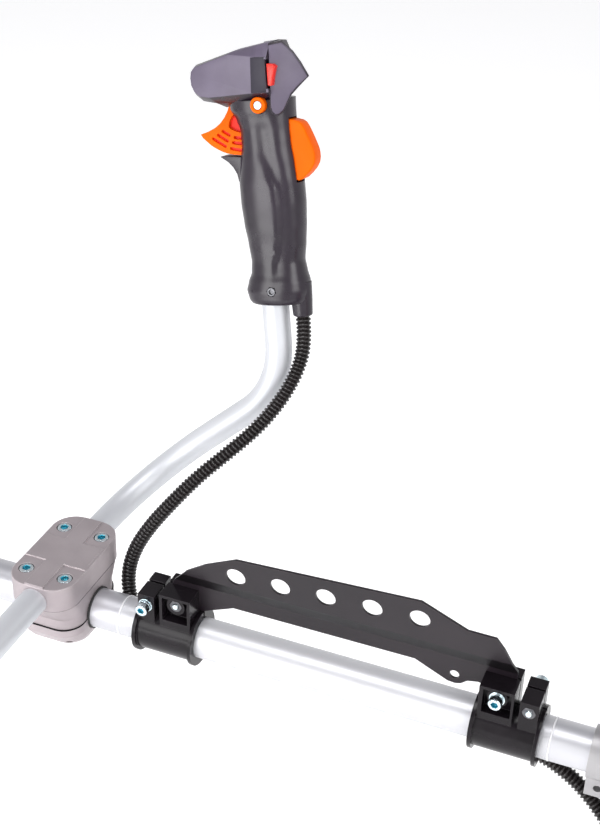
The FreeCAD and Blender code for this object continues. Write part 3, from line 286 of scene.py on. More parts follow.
def clear_film():
    """Thin clear sleeve: mostly lets the tube show, with its own soft gloss."""
    n = Nodes("clear_film")
    n.shader.inputs["Alpha"].default_value = 0.10
    n.shader.inputs["IOR"].default_value = 1.45
    n.join(n.mixed(n.noise(60, 3), (0.93, 0.94, 0.96), (1.0, 1.0, 1.0)), n.shader.inputs["Base Color"])
    n.join(n.spread(n.noise(90, 4), 0.3, 0.7, 0.18, 0.34), n.shader.inputs["Roughness"])
    n.bump(n.noise(35, 2, stretch=(0.3, 1, 1)), 0.15, 0.0003)
    return n.material


CAD_FINISH = {
    "tube": ["handlebar_tube"], "shaft": ["shaft_tube"],
    "cast": ["clamp_top_cap", "clamp_middle_block", "clamp_bottom_cap"],
    "alloy": ["clutch_housing", "crankcase", "cylinder", "gear_head", "piston", "carburettor",
              "flywheel_fan"],
    "zinc": ["clamp_screws", "hanger_screws", "hanger_nuts_and_washers", "housing_screws", "grip_screws"],
    "steel": ["drive_shaft", "clutch_drum", "clutch_rotor", "ball_bearings", "crankshaft", "connecting_rod",
              "drive_pinion", "driven_gear", "line_cutter", "throttle_arm"],
    "plate": ["hanging_plate"], "heat": ["muffler"],
    "black": ["grip_shell_near", "grip_shell_far"],
    "gloss_black": ["hanger_bracket_front", "hanger_bracket_rear"],
    "case": ["fan_housing", "starter_housing", "starter_pulley", "air_filter_cover", "guard", "head_housing",
             "choke_lever", "fuel_cap", "starter_handle", "shaft_bushes", "muffler_guard"],
    "rubber": ["clamp_rubber_ring", "left_hand_grip", "ignition_module"], "conduit": ["throttle_conduit"],
    "orange": ["throttle_trigger", "lockout_lever", "throttle_lock_button", "engine_cover", "line_spool",
               "bump_knob"],
    "red": ["stop_switch"], "tank": ["fuel_tank"], "ceramic": ["spark_plug"], "foam": ["air_filter_foam"],
    "line": ["trimmer_line"], "bulb": ["primer_bulb"],
}


def finish_cad_nodes(m):
    for key, names in CAD_FINISH.items():
        for name in names:
            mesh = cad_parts[name].data
            mesh.materials.clear()
            mesh.materials.append(m[key])


# ----------------------------------------------------------------- mesh helpers
def mesh_object(name, points, faces, matrix=None):
    """A mesh object whose points, in millimetres of a local frame, are put into the row frame."""
    matrix = matrix or CLAMP_FRAME
    mesh = bpy.data.meshes.new(name)
    mesh.from_pydata([matrix @ Vector(p) for p in points], [], faces)
    mesh.validate()
    obj = bpy.data.objects.new(name, mesh)
    bpy.context.scene.collection.objects.link(obj)
    return obj


def outward(obj):
    """All faces turned to point out of the closed mesh."""
    work = bmesh.new()
    work.from_mesh(obj.data)
    bmesh.ops.remove_doubles(work, verts=work.verts, dist=1e-7)
    bmesh.ops.recalc_face_normals(work, faces=work.faces)
    work.to_mesh(obj.data)
    work.free()
    return obj


def shaded(obj, degrees=35):
    obj.data.shade_smooth()
    obj.data.set_sharp_from_angle(angle=math.radians(degrees))
    return obj


def lathe(name, profile, matrix, segments=40, closed=False):
    """Turns an outline of (radius, height) about the local Z axis; an end of radius 0 is a pole."""
    points, rings = [], []
    for radius, height in profile:
        if radius < 1e-6:
            rings.append([len(points)])
            points.append((0, 0, height))
            continue
        rings.append(list(range(len(points), len(points) + segments)))
        for i in range(segments):
            angle = 2 * math.pi * i / segments
            points.append((radius * math.cos(angle), radius * math.sin(angle), height))
    faces = []
    pairs = list(zip(rings, rings[1:])) + ([(rings[-1], rings[0])] if closed else [])
    for low, high in pairs:
        for i in range(segments):
            j = (i + 1) % segments
            if len(low) == 1:
                faces.append((low[0], high[j], high[i]))
            elif len(high) == 1:
                faces.append((low[i], low[j], high[0]))
            else:
                faces.append((low[i], low[j], high[j], high[i]))
    return outward(mesh_object(name, points, faces, matrix))


def stacked(name, outlines, matrix):
    """Closed solid through outlines that have the same number of points; each is a list of 3-D points."""
    count = len(outlines[0])
    points = [p for outline in outlines for p in outline]
    faces = [tuple(reversed(range(count))), tuple(range(len(points) - count, len(points)))]
    for level in range(len(outlines) - 1):
        for i in range(count):
            j = (i + 1) % count
            a, b = level * count, (level + 1) * count
            faces.append((a + i, a + j, b + j, b + i))
    return outward(mesh_object(name, points, faces, matrix))


def prism(name, outline, low_y, high_y, matrix):
    """Solid between two Y values over an outline of (x, z)."""
    return stacked(name, [[(x, y, z) for x, z in outline] for y in (low_y, high_y)], matrix)


def hexagon(radius):
    angles = [math.pi * i / 3 for i in range(6)]
    return [(radius * math.cos(angle), radius * math.sin(angle)) for angle in angles]


def applied(obj):
    """Bakes the object's modifiers into its mesh."""
    bpy.context.view_layer.update()
    graph = bpy.context.evaluated_depsgraph_get()
    mesh = bpy.data.meshes.new_from_object(obj.evaluated_get(graph))
    obj.modifiers.clear()
    obj.data = mesh
    return obj


def combined(obj, tools, operation="DIFFERENCE"):
    for tool in tools:
        step = obj.modifiers.new("boolean", "BOOLEAN")
        step.operation = operation
        step.solver = "EXACT"
        step.object = tool
        applied(obj)
        bpy.data.objects.remove(tool)
    return obj


def softened(obj, width, segments=2, degrees=30):
    """Small rounds along the edges that are sharper than an angle."""
    step = obj.modifiers.new("bevel", "BEVEL")
    step.width = width * MM
    step.segments = segments
    step.limit_method = "ANGLE"
    step.angle_limit = math.radians(degrees)
    step.harden_normals = False
    return applied(obj)


def merged(name, objects):
    """One object out of several, keeping each one's materials."""
    materials = []
    work = bmesh.new()
    for obj in objects:
        start = len(work.faces)
        work.from_mesh(obj.data)
        work.faces.ensure_lookup_table()
        index = []
        for material in obj.data.materials:
            if material not in materials:
                materials.append(material)
            index.append(materials.index(material))
        for face in work.faces[start:]:
            face.material_index = index[min(face.material_index, len(index) - 1)] if index else 0
    mesh = bpy.data.meshes.new(name)
    work.to_mesh(mesh)
    work.free()
    for material in materials:
        mesh.materials.append(material)
    for obj in objects:
        bpy.data.objects.remove(obj)
    result = bpy.data.objects.new(name, mesh)
    bpy.context.scene.collection.objects.link(result)
    return result


def dressed(obj, material, degrees=35):
    obj.data.materials.clear()
    obj.data.materials.append(material)
    return shaded(obj, degrees)


def fitted(obj, body, slot, *nodes):
    """Rides on a body and stands for CAD nodes, which it hides; the slot argument is not used."""
    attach(obj, body)
    if nodes:
        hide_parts(*nodes)
    return obj


# ----------------------------------------------------------------- camera, floor and light
CAMERA_PLACE = (436.53, -683.45, 643.23)
CAMERA_AZIMUTH, CAMERA_ELEVATION, CAMERA_ROLL = 21.21, 31.57, 1.614
CAMERA_LENS = 62.09


def make_camera():
    azimuth, elevation, roll = (math.radians(a) for a in (CAMERA_AZIMUTH, CAMERA_ELEVATION, CAMERA_ROLL))
    level = Vector((math.cos(azimuth), math.sin(azimuth), 0))
    back = Vector((math.sin(azimuth) * math.cos(elevation), -math.cos(azimuth) * math.cos(elevation),
                   math.sin(elevation)))
    right = level * math.cos(roll) + back.cross(level) * math.sin(roll)
    data = bpy.data.cameras.new("camera")
    data.lens = CAMERA_LENS
    data.sensor_width = 36
    data.clip_start, data.clip_end = 0.01, 100
    camera = bpy.data.objects.new("camera", data)
    camera.matrix_world = axes(at(*CAMERA_PLACE), right, back.cross(right), back, unit=1)
    bpy.context.scene.collection.objects.link(camera)
    bpy.context.scene.camera = camera


FLOOR_HALF = 30
FLOOR_GLOW = 0.46


def make_floor():
    mesh = bpy.data.meshes.new("floor")
    corners = [(x * FLOOR_HALF, y * FLOOR_HALF, 0) for x, y in ((-1, -1), (1, -1), (1, 1), (-1, 1))]
    mesh.from_pydata(corners, [], [(0, 1, 2, 3)])
    floor = bpy.data.objects.new("floor", mesh)
    bpy.context.scene.collection.objects.link(floor)
    n = Nodes("pale_floor")
    n.join(n.mixed(n.noise(2, 3), (0.90, 0.90, 0.90), (0.93, 0.93, 0.93)), n.shader.inputs["Base Color"])
    n.shader.inputs["Roughness"].default_value = 0.9
    n.shader.inputs["Emission Color"].default_value = (1, 1, 1, 1)
    n.shader.inputs["Emission Strength"].default_value = FLOOR_GLOW
    mesh.materials.append(n.material)


def area_light(name, place, target, size, power):
    data = bpy.data.lights.new(name, "AREA")
    data.shape = "RECTANGLE"
    data.size, data.size_y = size
    data.energy = power
    light = bpy.data.objects.new(name, data)
    light.location = place
    light.rotation_euler = (Vector(target) - Vector(place)).to_track_quat("-Z", "Y").to_euler()
    bpy.context.scene.collection.objects.link(light)


def make_light():
    world = bpy.data.worlds.new("studio")
    bpy.context.scene.world = world
    world.use_nodes = True
    tree = world.node_tree
    background = tree.nodes["Background"]
    place = tree.nodes.new("ShaderNodeTexCoord")
    split = tree.nodes.new("ShaderNodeSeparateXYZ")
    ramp = tree.nodes.new("ShaderNodeValToRGB")
    tree.links.new(place.outputs["Generated"], split.inputs[0])
    tree.links.new(split.outputs["Z"], ramp.inputs["Fac"])
    tree.links.new(ramp.outputs["Color"], background.inputs["Color"])
    ramp.color_ramp.elements[0].position = 0.46
    ramp.color_ramp.elements[0].color = (1, 1, 1, 1)
    ramp.color_ramp.elements[1].position = 0.72
    ramp.color_ramp.elements[1].color = (0.30, 0.30, 0.33, 1)
    background.inputs["Strength"].default_value = 0.8
    area_light("key", at(-410, -1050, 330), at(110, 140, 260), (0.9, 0.9), 11)
    area_light("side", at(1300, -700, 900), at(150, 0, 80), (0.9, 0.9), 11)
    area_light("top", at(-100, -300, 1700), at(150, 0, 80), (0.8, 0.8), 12)
    bpy.context.scene.view_settings.view_transform = "Standard"


# ----------------------------------------------------------------- throttle conduit
CONDUIT_ROUTE = [
    (0.1168, 0.1409, 0.1829), (0.1201, 0.1373, 0.1654), (0.1188, 0.1315, 0.147), (0.1135, 0.117, 0.1295),
    (0.104, 0.096, 0.1145), (0.09, 0.078, 0.101), (0.073, 0.063, 0.085), (0.057, 0.051, 0.065),
    (0.0435, 0.0433, 0.046), (0.0335, 0.0375, 0.0265), (0.0302, 0.0322, 0.0065), (0.035, 0.0275, -0.013),
    (0.0495, 0.023, -0.027), (0.071, 0.0185, -0.032), (0.094, 0.0155, -0.0275), (0.119, 0.013, -0.021),
    (0.15, 0.0128, -0.0195), (0.184, 0.014, -0.0208), (0.22, 0.0155, -0.02), (0.257, 0.017, -0.0223),
    (0.292, 0.0185, -0.026), (0.324, 0.017, -0.027), (0.35, 0.0105, -0.029), (0.371, 0.0055, -0.038),
    (0.391, -0.004, -0.0515), (0.412, -0.022, -0.062), (0.434, -0.045, -0.065), (0.456, -0.0665, -0.06),
    (0.477, -0.082, -0.0495), (0.495, -0.0905, -0.033), (0.506, -0.0935, -0.012), (0.508, -0.094, 0.01),
    (0.508, -0.094, 0.0318)]
CONDUIT_DIAMETER = 0.0106
RIDGE_PITCH = 0.0029
RIDGE_DEPTH = 0.0014
STEPS_PER_RIDGE = 6
CONDUIT_SIDES = 18


def spline_points(name, route):
    """Points along the smooth NURBS line that has the route as its control points."""
    curve = bpy.data.curves.new(name, "CURVE")
    curve.dimensions = "3D"
    curve.resolution_u = 24
    spline = curve.splines.new("NURBS")
    spline.points.add(len(route) - 1)
    for point, place in zip(spline.points, route):
        point.co = (*(CLAMP + Vector(place)), 1)
    spline.order_u = 3
    spline.use_endpoint_u = True
    obj = bpy.data.objects.new(name, curve)
    bpy.context.scene.collection.objects.link(obj)
    bpy.context.view_layer.update()
    mesh = bpy.data.meshes.new_from_object(obj)
    line = [v.co.copy() for v in mesh.vertices]
    bpy.data.objects.remove(obj)
    return line


def walked(line, step):
    """Points a step apart along a line, each with the line's direction there."""
    found, left = [], 0.0
    for a, b in zip(line, line[1:]):
        run = (b - a).length
        if run < 1e-9:
            continue
        way = (b - a) / run
        while left <= run:
            found.append((a + way * left, way))
            left += step
        left -= run
    return found


def ridge_radius(phase):
    """Radius of the corrugated wall over one pitch: a broad round ridge and a narrow groove."""
    wave = 0.5 + 0.5 * math.cos(2 * math.pi * phase)
    return CONDUIT_DIAMETER / 2 - RIDGE_DEPTH * (1 - wave) ** 1.6


def make_conduit(m):
    line = spline_points("conduit_line", CONDUIT_ROUTE)
    stops = walked(line, RIDGE_PITCH / STEPS_PER_RIDGE)
    points, side = [], Vector((0, 0, 1)).cross(stops[0][1]).normalized()
    for i, (place, way) in enumerate(stops):
        side = (side - way * side.dot(way)).normalized()
        other = way.cross(side)
        radius = ridge_radius(i / STEPS_PER_RIDGE)
        for k in range(CONDUIT_SIDES):
            angle = 2 * math.pi * k / CONDUIT_SIDES
            points.append(place + (side * math.cos(angle) + other * math.sin(angle)) * radius)
    faces = []
    for i in range(len(stops) - 1):
        a, b = i * CONDUIT_SIDES, (i + 1) * CONDUIT_SIDES
        for k in range(CONDUIT_SIDES):
            j = (k + 1) % CONDUIT_SIDES
            faces.append((a + k, a + j, b + j, b + k))
    faces.append(tuple(reversed(range(CONDUIT_SIDES))))
    faces.append(tuple(range(len(points) - CONDUIT_SIDES, len(points))))
    conduit = mesh_object("conduit", points, faces, Matrix.Identity(4))
    dressed(conduit, m["conduit"], 80)
    fitted(conduit, "machine", "conduit_plastic", "throttle_conduit")


# ----------------------------------------------------------------- throttle grip
# height, centre x, half depth x, half width y of the hand part
GRIP_STATIONS = [(0, 4.4, 20.2, 15.5), (3, 4.2, 21.8, 16.8), (9, 4, 23, 17.2), (15, 4.6, 21.8, 16.6),
                 (21, 5.2, 19.8, 15.4), (29, 5, 18.9, 14.6), (41, 5.2, 20.4, 15), (55, 4.9, 22, 16.2),
                 (69, 4.7, 22.8, 17), (83, 4.5, 22.6, 17.2), (97, 5.1, 21.1, 16.5), (108, 5.3, 19.5, 15.8),
                 (118, 5.1, 19.3, 15.6), (125, 4.0, 20.4, 16.2), (132, 2, 22.5, 17), (139, 2, 22.8, 17.2)]
# height, x of the valley down the side, its depth, and how wide it is towards the front and the back
GRIP_VALLEY = [(0, 9, 0.0, 3, 8), (14, 9, 0.5, 3, 8), (27, 9, 1.3, 1.6, 9), (37, 12, 1.6, 1.6, 9),
               (52, 14.8, 1.7, 1.6, 8), (67, 15.6, 1.8, 1.8, 7), (79, 15.4, 1.8, 2.2, 6),
               (90, 12.2, 1.9, 4, 6), (104, 8, 2.0, 5, 5.5), (117, 7, 1.9, 5, 5.5), (126, 7.5, 0.8, 5, 5),
               (132, 8, 0.0, 5, 5), (140, 8, 0, 5, 5)]


def between(stations, height):
    """Values at a height, eased between the two stations that enclose it."""
    if height <= stations[0][0]:
        return stations[0][1:]
    for low, high in zip(stations, stations[1:]):
        if height <= high[0]:
            t = (height - low[0]) / (high[0] - low[0])
            t = t * t * (3 - 2 * t) * 0.5 + t * 0.5
            return [a + (b - a) * t for a, b in zip(low[1:], high[1:])]
    return stations[-1][1:]


def hand_ring(height, sides=72):
    centre, depth, width = between(GRIP_STATIONS, height)
    valley_x, valley, front, back = between(GRIP_VALLEY, height)
    ring = []
    for i in range(sides):
        angle = 2 * math.pi * i / sides
        c, s = math.cos(angle), math.sin(angle)
        x = centre + depth * math.copysign(abs(c) ** 0.9, c)
        y = width * math.copysign(abs(s) ** 0.9, s)
        reach = (x - valley_x) / (front if x < valley_x else back)
        y -= math.copysign(min(valley * math.exp(-reach * reach), abs(y)), y)
        ring.append((x, y, height))
    return ring


SNOUT_SIDE = [(-39.7, 154.2), (-38.9, 158.4), (-36.3, 161.2), (-11, 168.4), (7.9, 165.9), (16.5, 165.4),
              (16.5, 143.2), (4.1, 143), (-27.1, 141.3), (-33.6, 142.3), (-37.5, 145.3), (-39.4, 149.6)]
SNOUT_EDGE = [(-42.4, 154.3), (-41.3, 159.6), (-38.2, 162.5), (-11.3, 169.8), (6, 172.7), (16.5, 174.4),
              (16.5, 138.6), (4, 136.5), (-25, 136.8), (-35.0, 138.6), (-39.9, 142.5), (-42.2, 148.4)]
SNOUT_MIDDLE = [(-43.6, 154.0), (-42.3, 160.0), (-38.9, 163.0), (-11.4, 170.9), (6, 173.8), (16.5, 175.4),
                (16.5, 132), (4, 128), (-20.5, 131), (-36.0, 137.4), (-41.1, 141.6), (-43.4, 147.8)]
# x, z and y of the slanted thumb pad behind the switch, on the near side
TAIL_PAD = [(16.9, 172.6, -16.7), (23.7, 173.6, -11.3), (26.7, 170.1, -8.9), (29.2, 166.6, -6.9),
            (32.6, 159.5, -4.2), (36.1, 150.9, -1.4), (30.7, 145.7, -5.8), (26.7, 141.2, -9.0),
            (24.5, 136.2, -10.7), (22.3, 131.2, -12.5), (20.0, 128.9, -14.3), (18.1, 128.7, -15.9),
            (16.6, 130.6, -17.0), (16.0, 133.5, -17.5)]
TRIGGER_SLOT = [(-60, 133), (-24, 133), (-18, 151), (-9, 154), (1, 151), (5, 140), (7, 120), (7, 104),
                (3, 100.9), (-9, 99.4), (-20.9, 101), (-32, 105.6), (-41.5, 112.5), (-60, 113)]
LOCKOUT_SLOT = [(11.5, 124), (20, 125), (30, 126), (50, 126), (50, 78), (27, 82.5), (14, 82.5), (7.5, 88),
                (9, 105)]
FINGER_HOOK = [(-30.5, 100.6), (-27, 101.3), (-12, 100.3), (-10, 84), (-17.6, 83.4), (-18.6, 88.6),
               (-21, 93), (-24.6, 96.8)]
BUTTON = (6.8, 135.0)                   # x and z of the throttle lock button
FOOT_SCREW = (5.4, 10)                  # x and z of the screw at the foot
SEAM = 0.2                              # gap between the two shells
SWITCH_SLOT = [(15.0, 145.4), (18.6, 145.8), (19.6, 163.6), (15.0, 164.2)]


def make_hand():
    heights = [0, 0.6] + [1.5 + 1.5 * i for i in range(92)]
    rings = [hand_ring(h) for h in heights]
    centre, drawn_in = GRIP_STATIONS[0][1], 0.95
    foot = [(centre + (x - centre) * drawn_in, y * drawn_in, z) for x, y, z in rings[0]]
    return stacked("hand", [foot] + rings[1:], GRIP)


def make_snout():
    levels = [(-21, SNOUT_SIDE), (-13.5, SNOUT_EDGE), (0, SNOUT_MIDDLE), (13.5, SNOUT_EDGE), (21, SNOUT_SIDE)]
    snout = stacked("snout", [[(x, y, z) for x, z in outline] for y, outline in levels], GRIP)
    hollows = []
    for side in (-1, 1):
        rim = [(5.2, 165.7), (14.9, 165.6), (14.9, 143.4), (3.9, 143.2)]
        hollows.append(stacked("hollow", [[(x, side * y, z) for (x, z), y in zip(rim, depths)]
                                          for depths in ((22, 22, 22, 22), (20.9, 19.4, 19.4, 20.9))], GRIP))
    return softened(combined(snout, hollows), 0.5, 2, 12)


def grown(points, amount):
    """Flat outline with every point moved away from the middle."""
    points = [Vector(p) for p in points]
    centre = sum(points, Vector()) / len(points)
    return [p + (p - centre).normalized() * amount for p in points]


def moved_out(points, shift):
    """A near-side outline moved away from the middle plane, which it never reaches."""
    return [(p[0], min(p[1] - shift, -0.2), p[2]) for p in points]


def make_tail():
    """Rear of the head: the slanted near face, and the same outline swept forward on the far side."""
    near = moved_out(grown([(x, y, z) for x, z, y in TAIL_PAD], 1.3), -0.4)
    far = [(x + 1.1 * y, -y, z) for x, y, z in near]
    return softened(stacked("tail", [near, far], GRIP), 0.5, 2, 25)


def make_pad(m):
    """The slanted thumb pad, a little proud of the head."""
    outline = [(x, y, z) for x, z, y in TAIL_PAD]
    pad = stacked("thumb_pad", [moved_out(outline, 0.4), moved_out(outline, -1.6)], GRIP)
    pad = softened(pad, 0.35, 3, 40)
    pad.name = "thumb_pad"
    # the pad takes the lighter panel tone: partly fine texture, partly painted highlight
    fitted(dressed(pad, m["panel"], 30), "machine", "black_plastic")


def painted_panels(shell, m):
    """Gives the flat cheeks of the head their lighter panel tone, partly fine texture and partly painted
    highlight, and the strip behind them its plain one.
    """
    shell.data.materials.append(m["panel"])
    shell.data.materials.append(m["dark_strip"])
    local = GRIP.inverted()
    for face in shell.data.polygons:
        place = local @ face.center
        if abs(abs(place.y) - 21) < 0.05 and place.x < 5.3 and place.z > 140:
            face.material_index = 1
        elif 4 < place.x < 16.6 and abs(place.y) > 19.2 and 142 < place.z < 166.5:
            face.material_index = 2
        elif (abs(face.normal.dot(GRIP_AWAY)) < 0.9 and abs(place.y) < 20.9
              and place.z > 166.4 and place.x < 16.4):
            face.material_index = 1


def make_grip(m):
    shell = combined(make_hand(), [make_snout(), make_tail()], "UNION")
    shell = combined(shell, [softened(prism("hook", FINGER_HOOK, -6, 6, GRIP), 0.6)], "UNION")
    bar = lathe("bar", [(0, -2), (9.6, -2), (9.6, 74), (0, 74)], GRIP, 48)
    button_frame = axes_along(GRIP @ Vector((BUTTON[0], -27, BUTTON[1])), GRIP_AWAY)
    button_well = lathe("well", [(0, 0), (5.8, 0), (5.8, 15.5), (0, 15.5)], button_frame, 40)
    rooms = [bar, prism("trigger_room", TRIGGER_SLOT, -6.8, 6.8, GRIP),
             prism("lockout_room", LOCKOUT_SLOT, -6.8, 6.8, GRIP), button_well,
             prism("switch_room", SWITCH_SLOT, -26, -12.5, GRIP)]
    for side in (-1, 1):
        place = axes_along(GRIP @ Vector((FOOT_SCREW[0], side * 23, FOOT_SCREW[1])), GRIP_AWAY * -side)
        rooms.append(lathe("screw_room", [(0, 0), (3.5, 0), (3.5, 9), (0, 9)], place, 6))
    shell = combined(shell, rooms)
    socket = lathe("socket", [(0, -9.4), (6.4, -9.4), (6.8, -8.8), (7.4, 2), (7.6, 14), (0, 14)],
                   axes_along(GRIP @ Vector((20.3, 0, 0)), GRIP_UP), 36)
    shell = combined(shell, [socket], "UNION")
    halves = []
    for name, low, high in (("grip_near_half", -60, -SEAM / 2), ("grip_far_half", SEAM / 2, 60)):
        half = shell.copy()
        half.data = shell.data.copy()
        half.name = name
        bpy.context.scene.collection.objects.link(half)
        box = prism("box", [(-100, -50), (100, -50), (100, 250), (-100, 250)], low, high, GRIP)
        halves.append(dressed(combined(half, [box], "INTERSECT"), m["black"], 28))
        painted_panels(halves[-1], m)
    bpy.data.objects.remove(shell)
    fitted(halves[0], "machine", "black_plastic", "grip_shell_near")
    fitted(halves[1], "machine", "black_plastic", "grip_shell_far")


TRIGGER_OUTLINE = [(-21.8, 131), (-24.6, 126.7), (-28, 123), (-32.1, 120.1), (-37.5, 117.7), (-43.5, 115.9),
                   (-42, 113.4), (-39.3, 111), (-36, 108.2), (-32, 105.8), (-28, 103.9), (-24.5, 102.7),
                   (-20, 101.9), (-15, 101.5), (-8, 101.4), (-3, 108), (0, 125), (-2, 146), (-9, 150.5),
                   (-16, 146)]
TRIGGER_RECESS = [(-15.6, 130.2), (-12.0, 126.9), (-9.9, 123.2), (-9.6, 119.5), (-10, 116.4),
                  (-12.5, 116.2), (-16.1, 116.9), (-19.8, 118.4), (-22.1, 120.3), (-21.4, 123.8),
                  (-18.9, 127.4)]
# both ends of each grip slot
TRIGGER_SLOTS = [((-26.5, 117.5), (-22.0, 114.9)), ((-30.4, 115.1), (-23.8, 111.1)),
                 ((-34.3, 112.7), (-25.6, 107.5)), ((-17.9, 113.2), (-6, 111.9)),
                 ((-19.4, 109.8), (-6, 108.0)), ((-21.3, 105.9), (-14.0, 104.6))]


def capsule(start, stop, half):
    """Outline of a slot with round ends between two points."""
    lean = math.atan2(stop[1] - start[1], stop[0] - start[0])
    points = []
    for centre, first in ((stop, lean - math.pi / 2), (start, lean + math.pi / 2)):
        for i in range(7):
            angle = first + math.pi * i / 6
            points.append((centre[0] + half * math.cos(angle), centre[1] + half * math.sin(angle)))
    return points


def make_trigger(m):
    body = prism("trigger_body", TRIGGER_OUTLINE, -5.9, 5.9, GRIP)
    pockets = []
    for side in (-1, 1):
        pockets.append(prism("pocket", TRIGGER_RECESS, side * 3.2, side * 8, GRIP))
        pockets += [prism("slot", capsule(*ends, 1.15), side * 3.6, side * 8, GRIP) for ends in TRIGGER_SLOTS]
    trigger = combined(body, pockets)
    trigger.data.materials.clear()
    trigger.data.materials.append(m["orange"])
    trigger.data.materials.append(m["recess"])
    local = GRIP.inverted()
    for face in trigger.data.polygons:
        place = local @ face.center
        if abs(place.y) < 5.0 and abs(GRIP_AWAY.dot(face.normal)) > 0.9:
            face.material_index = 1
    trigger.name = "trigger"
    fitted(shaded(trigger, 40), "trigger", "orange_plastic", "throttle_trigger")


LOCKOUT_OUTLINE = [(15, 121.5), (20, 124.3), (23.6, 124.2), (29, 122.9), (31.2, 121.3), (33, 118.4),
                   (36, 111.6), (38.6, 104.9), (39.3, 101.6), (39.4, 98), (38.7, 94.6), (36.8, 91.4),
                   (33.6, 88), (29.8, 84.9), (26.5, 83.6), (17, 86), (15, 100)]


def make_grip_fasteners(m):
    """Foot screw with its nut, and the pins that carry the trigger and the lockout lever."""
    screw = lathe("foot_screw", [(0, 1.5), (1.6, 1.5), (1.9, 0), (2.7, 0), (3.1, 0.5), (3.1, 4), (0, 4)],
                  axes_along(GRIP @ Vector((FOOT_SCREW[0], -17.3, FOOT_SCREW[1])), GRIP_AWAY), 32)
    nut = stacked("foot_nut", [[(x, y, z) for x, y in hexagon(3.0)] for z in (0, 3.5)],
                  axes_along(GRIP @ Vector((FOOT_SCREW[0], 14.4, FOOT_SCREW[1])), GRIP_AWAY))
    pieces = [dressed(screw, m["dark_screw"], 40), dressed(nut, m["steel"], 40)]
    for x, z, radius, reach in ((-9, 145, 2.0, 12), (19, 117, 1.55, 7)):
        place = axes_along(GRIP @ Vector((x, -reach, z)), GRIP_AWAY)
        pin = lathe("pin", [(0, 0), (radius, 0), (radius, 2 * reach), (0, 2 * reach)], place, 24)
        pieces.append(dressed(pin, m["steel"], 40))
    fitted(merged("grip_fasteners", pieces), "machine", "zinc_steel", "grip_screws")


def make_lockout(m):
    lever = softened(prism("lockout", LOCKOUT_OUTLINE, -5.8, 5.8, GRIP), 1.1, 3, 40)
    lever.name = "lockout"
    fitted(dressed(lever, m["orange"], 40), "lockout", "orange_plastic", "lockout_lever")


def make_button(m):
    place = axes_along(GRIP @ Vector((BUTTON[0], -19.4, BUTTON[1])), GRIP_AWAY)
    ring = lathe("button_ring", [(0, 1.4), (3.2, 1.4), (3.2, 0.35), (3.5, 0), (4.8, 0), (5.3, 0.5),
                                 (5.3, 4.6), (0, 4.6)], place, 48)
    centre = lathe("button_centre", [(0, 0.35), (2.6, 0.35), (3.0, 0.7), (3.0, 1.6), (0, 1.6)], place, 40)
    cross = [stacked("bar", [[(a, b, z) for a, b in corners] for z in (-1, 0.75)], place)
             for corners in ([(-1.7, -0.35), (1.7, -0.35), (1.7, 0.35), (-1.7, 0.35)],
                             [(-0.35, -1.7), (0.35, -1.7), (0.35, 1.7), (-0.35, 1.7)])]
    centre = combined(centre, cross)
    dressed(ring, m["orange"], 40)
    dressed(centre, m["steel"], 40)
    fitted(merged("lock_button_cap", [ring, centre]), "lock_button", "orange_plastic", "throttle_lock_button")


ROCKER_OUTLINE = [(16.2, 147.6), (18.6, 147.2), (19.5, 152.2), (20.8, 156.8), (21.9, 159.4), (20.0, 160.8),
                  (16.2, 161.4)]


def make_switch(m):
    piece = softened(prism("rocker", ROCKER_OUTLINE, -20.6, -15, GRIP), 0.35, 2)
    piece.name = "rocker_switch"
    fitted(dressed(piece, m["red"], 40), "switch", "red_plastic", "stop_switch")


# ----------------------------------------------------------------- screws, nuts and washers
def threaded(radius, start, stop, pitch=0.8, depth=0.22):
    """Outline of a threaded shank, as rings, from one height to another."""
    outline = [(radius - depth, start)]
    for i in range(int((stop - start - 1) / pitch)):
        outline += [(radius - depth, start + i * pitch), (radius, start + (i + 0.5) * pitch)]
    return outline + [(radius - 0.05, stop - 0.9), (radius - 0.7, stop), (0, stop)]


def socket_screw(place, head, height, shank, length, key, m):
    """Cap screw whose head faces local -Z, with its hexagon socket coloured darker as painted shade."""
    outline = [(0, 0), (head - 0.45, 0), (head, 0.45), (head, height - 0.1), (head - 0.1, height),
               *threaded(shank, height, height + length)]
    body = lathe("screw", outline, place, 32)
    socket = stacked("socket", [[(x, y, z) for x, y in hexagon(radius)] for radius, z in
                                ((key + 0.25, -1), (key + 0.25, 0.01), (key, 0.3), (key, 2.6))], place)
    body = combined(body, [socket])
    body.data.materials.clear()
    body.data.materials.append(m["zinc"])
    body.data.materials.append(m["socket"])
    local = place.inverted()
    # faces inside the socket take the darker zinc: painted shade
    for face in body.data.polygons:
        spot = local @ face.center
        if 0.05 < spot.z < 2.7 and math.hypot(spot.x, spot.y) < key + 0.1:
            face.material_index = 1
    return shaded(body, 40)


def flat_ring(place, outer, inner, thickness, material):
    """Washer with small chamfers."""
    c = 0.12
    outline = [(inner, 0), (outer - c, 0), (outer, c), (outer, thickness - c), (outer - c, thickness),
               (inner, thickness)]
    return dressed(lathe("washer", outline, place, 40, closed=True), material, 30)


def hex_nut(place, radius, thickness, bore, material):
    """Hexagon nut, chamfered by a cone on both faces."""
    nut = stacked("nut", [[(x, y, z) for x, y in hexagon(radius)] for z in (0, thickness)], place)
    cone = lathe("cone", [(0, -0.1), (radius - 0.75, -0.1), (radius + 0.35, 0.75),
                          (radius + 0.35, thickness - 0.75), (radius - 0.75, thickness + 0.1),
                          (0, thickness + 0.1)], place, 48)
    hole = lathe("hole", [(0, -1), (bore, -1), (bore, thickness + 1), (0, thickness + 1)], place, 32)
    return dressed(combined(combined(nut, [cone], "INTERSECT"), [hole]), material, 30)


CLAMP_SCREW_X, CLAMP_SCREW_Y = 14.8, 25.5
# x of the front face of the front bracket and of the back face of the rear one
FRONT_X, REAR_X = 60.5, 341.5
NARROW_Z, WIDE_Z = 26.5, 29.5           # heights of the screws in the narrow and the wide lugs
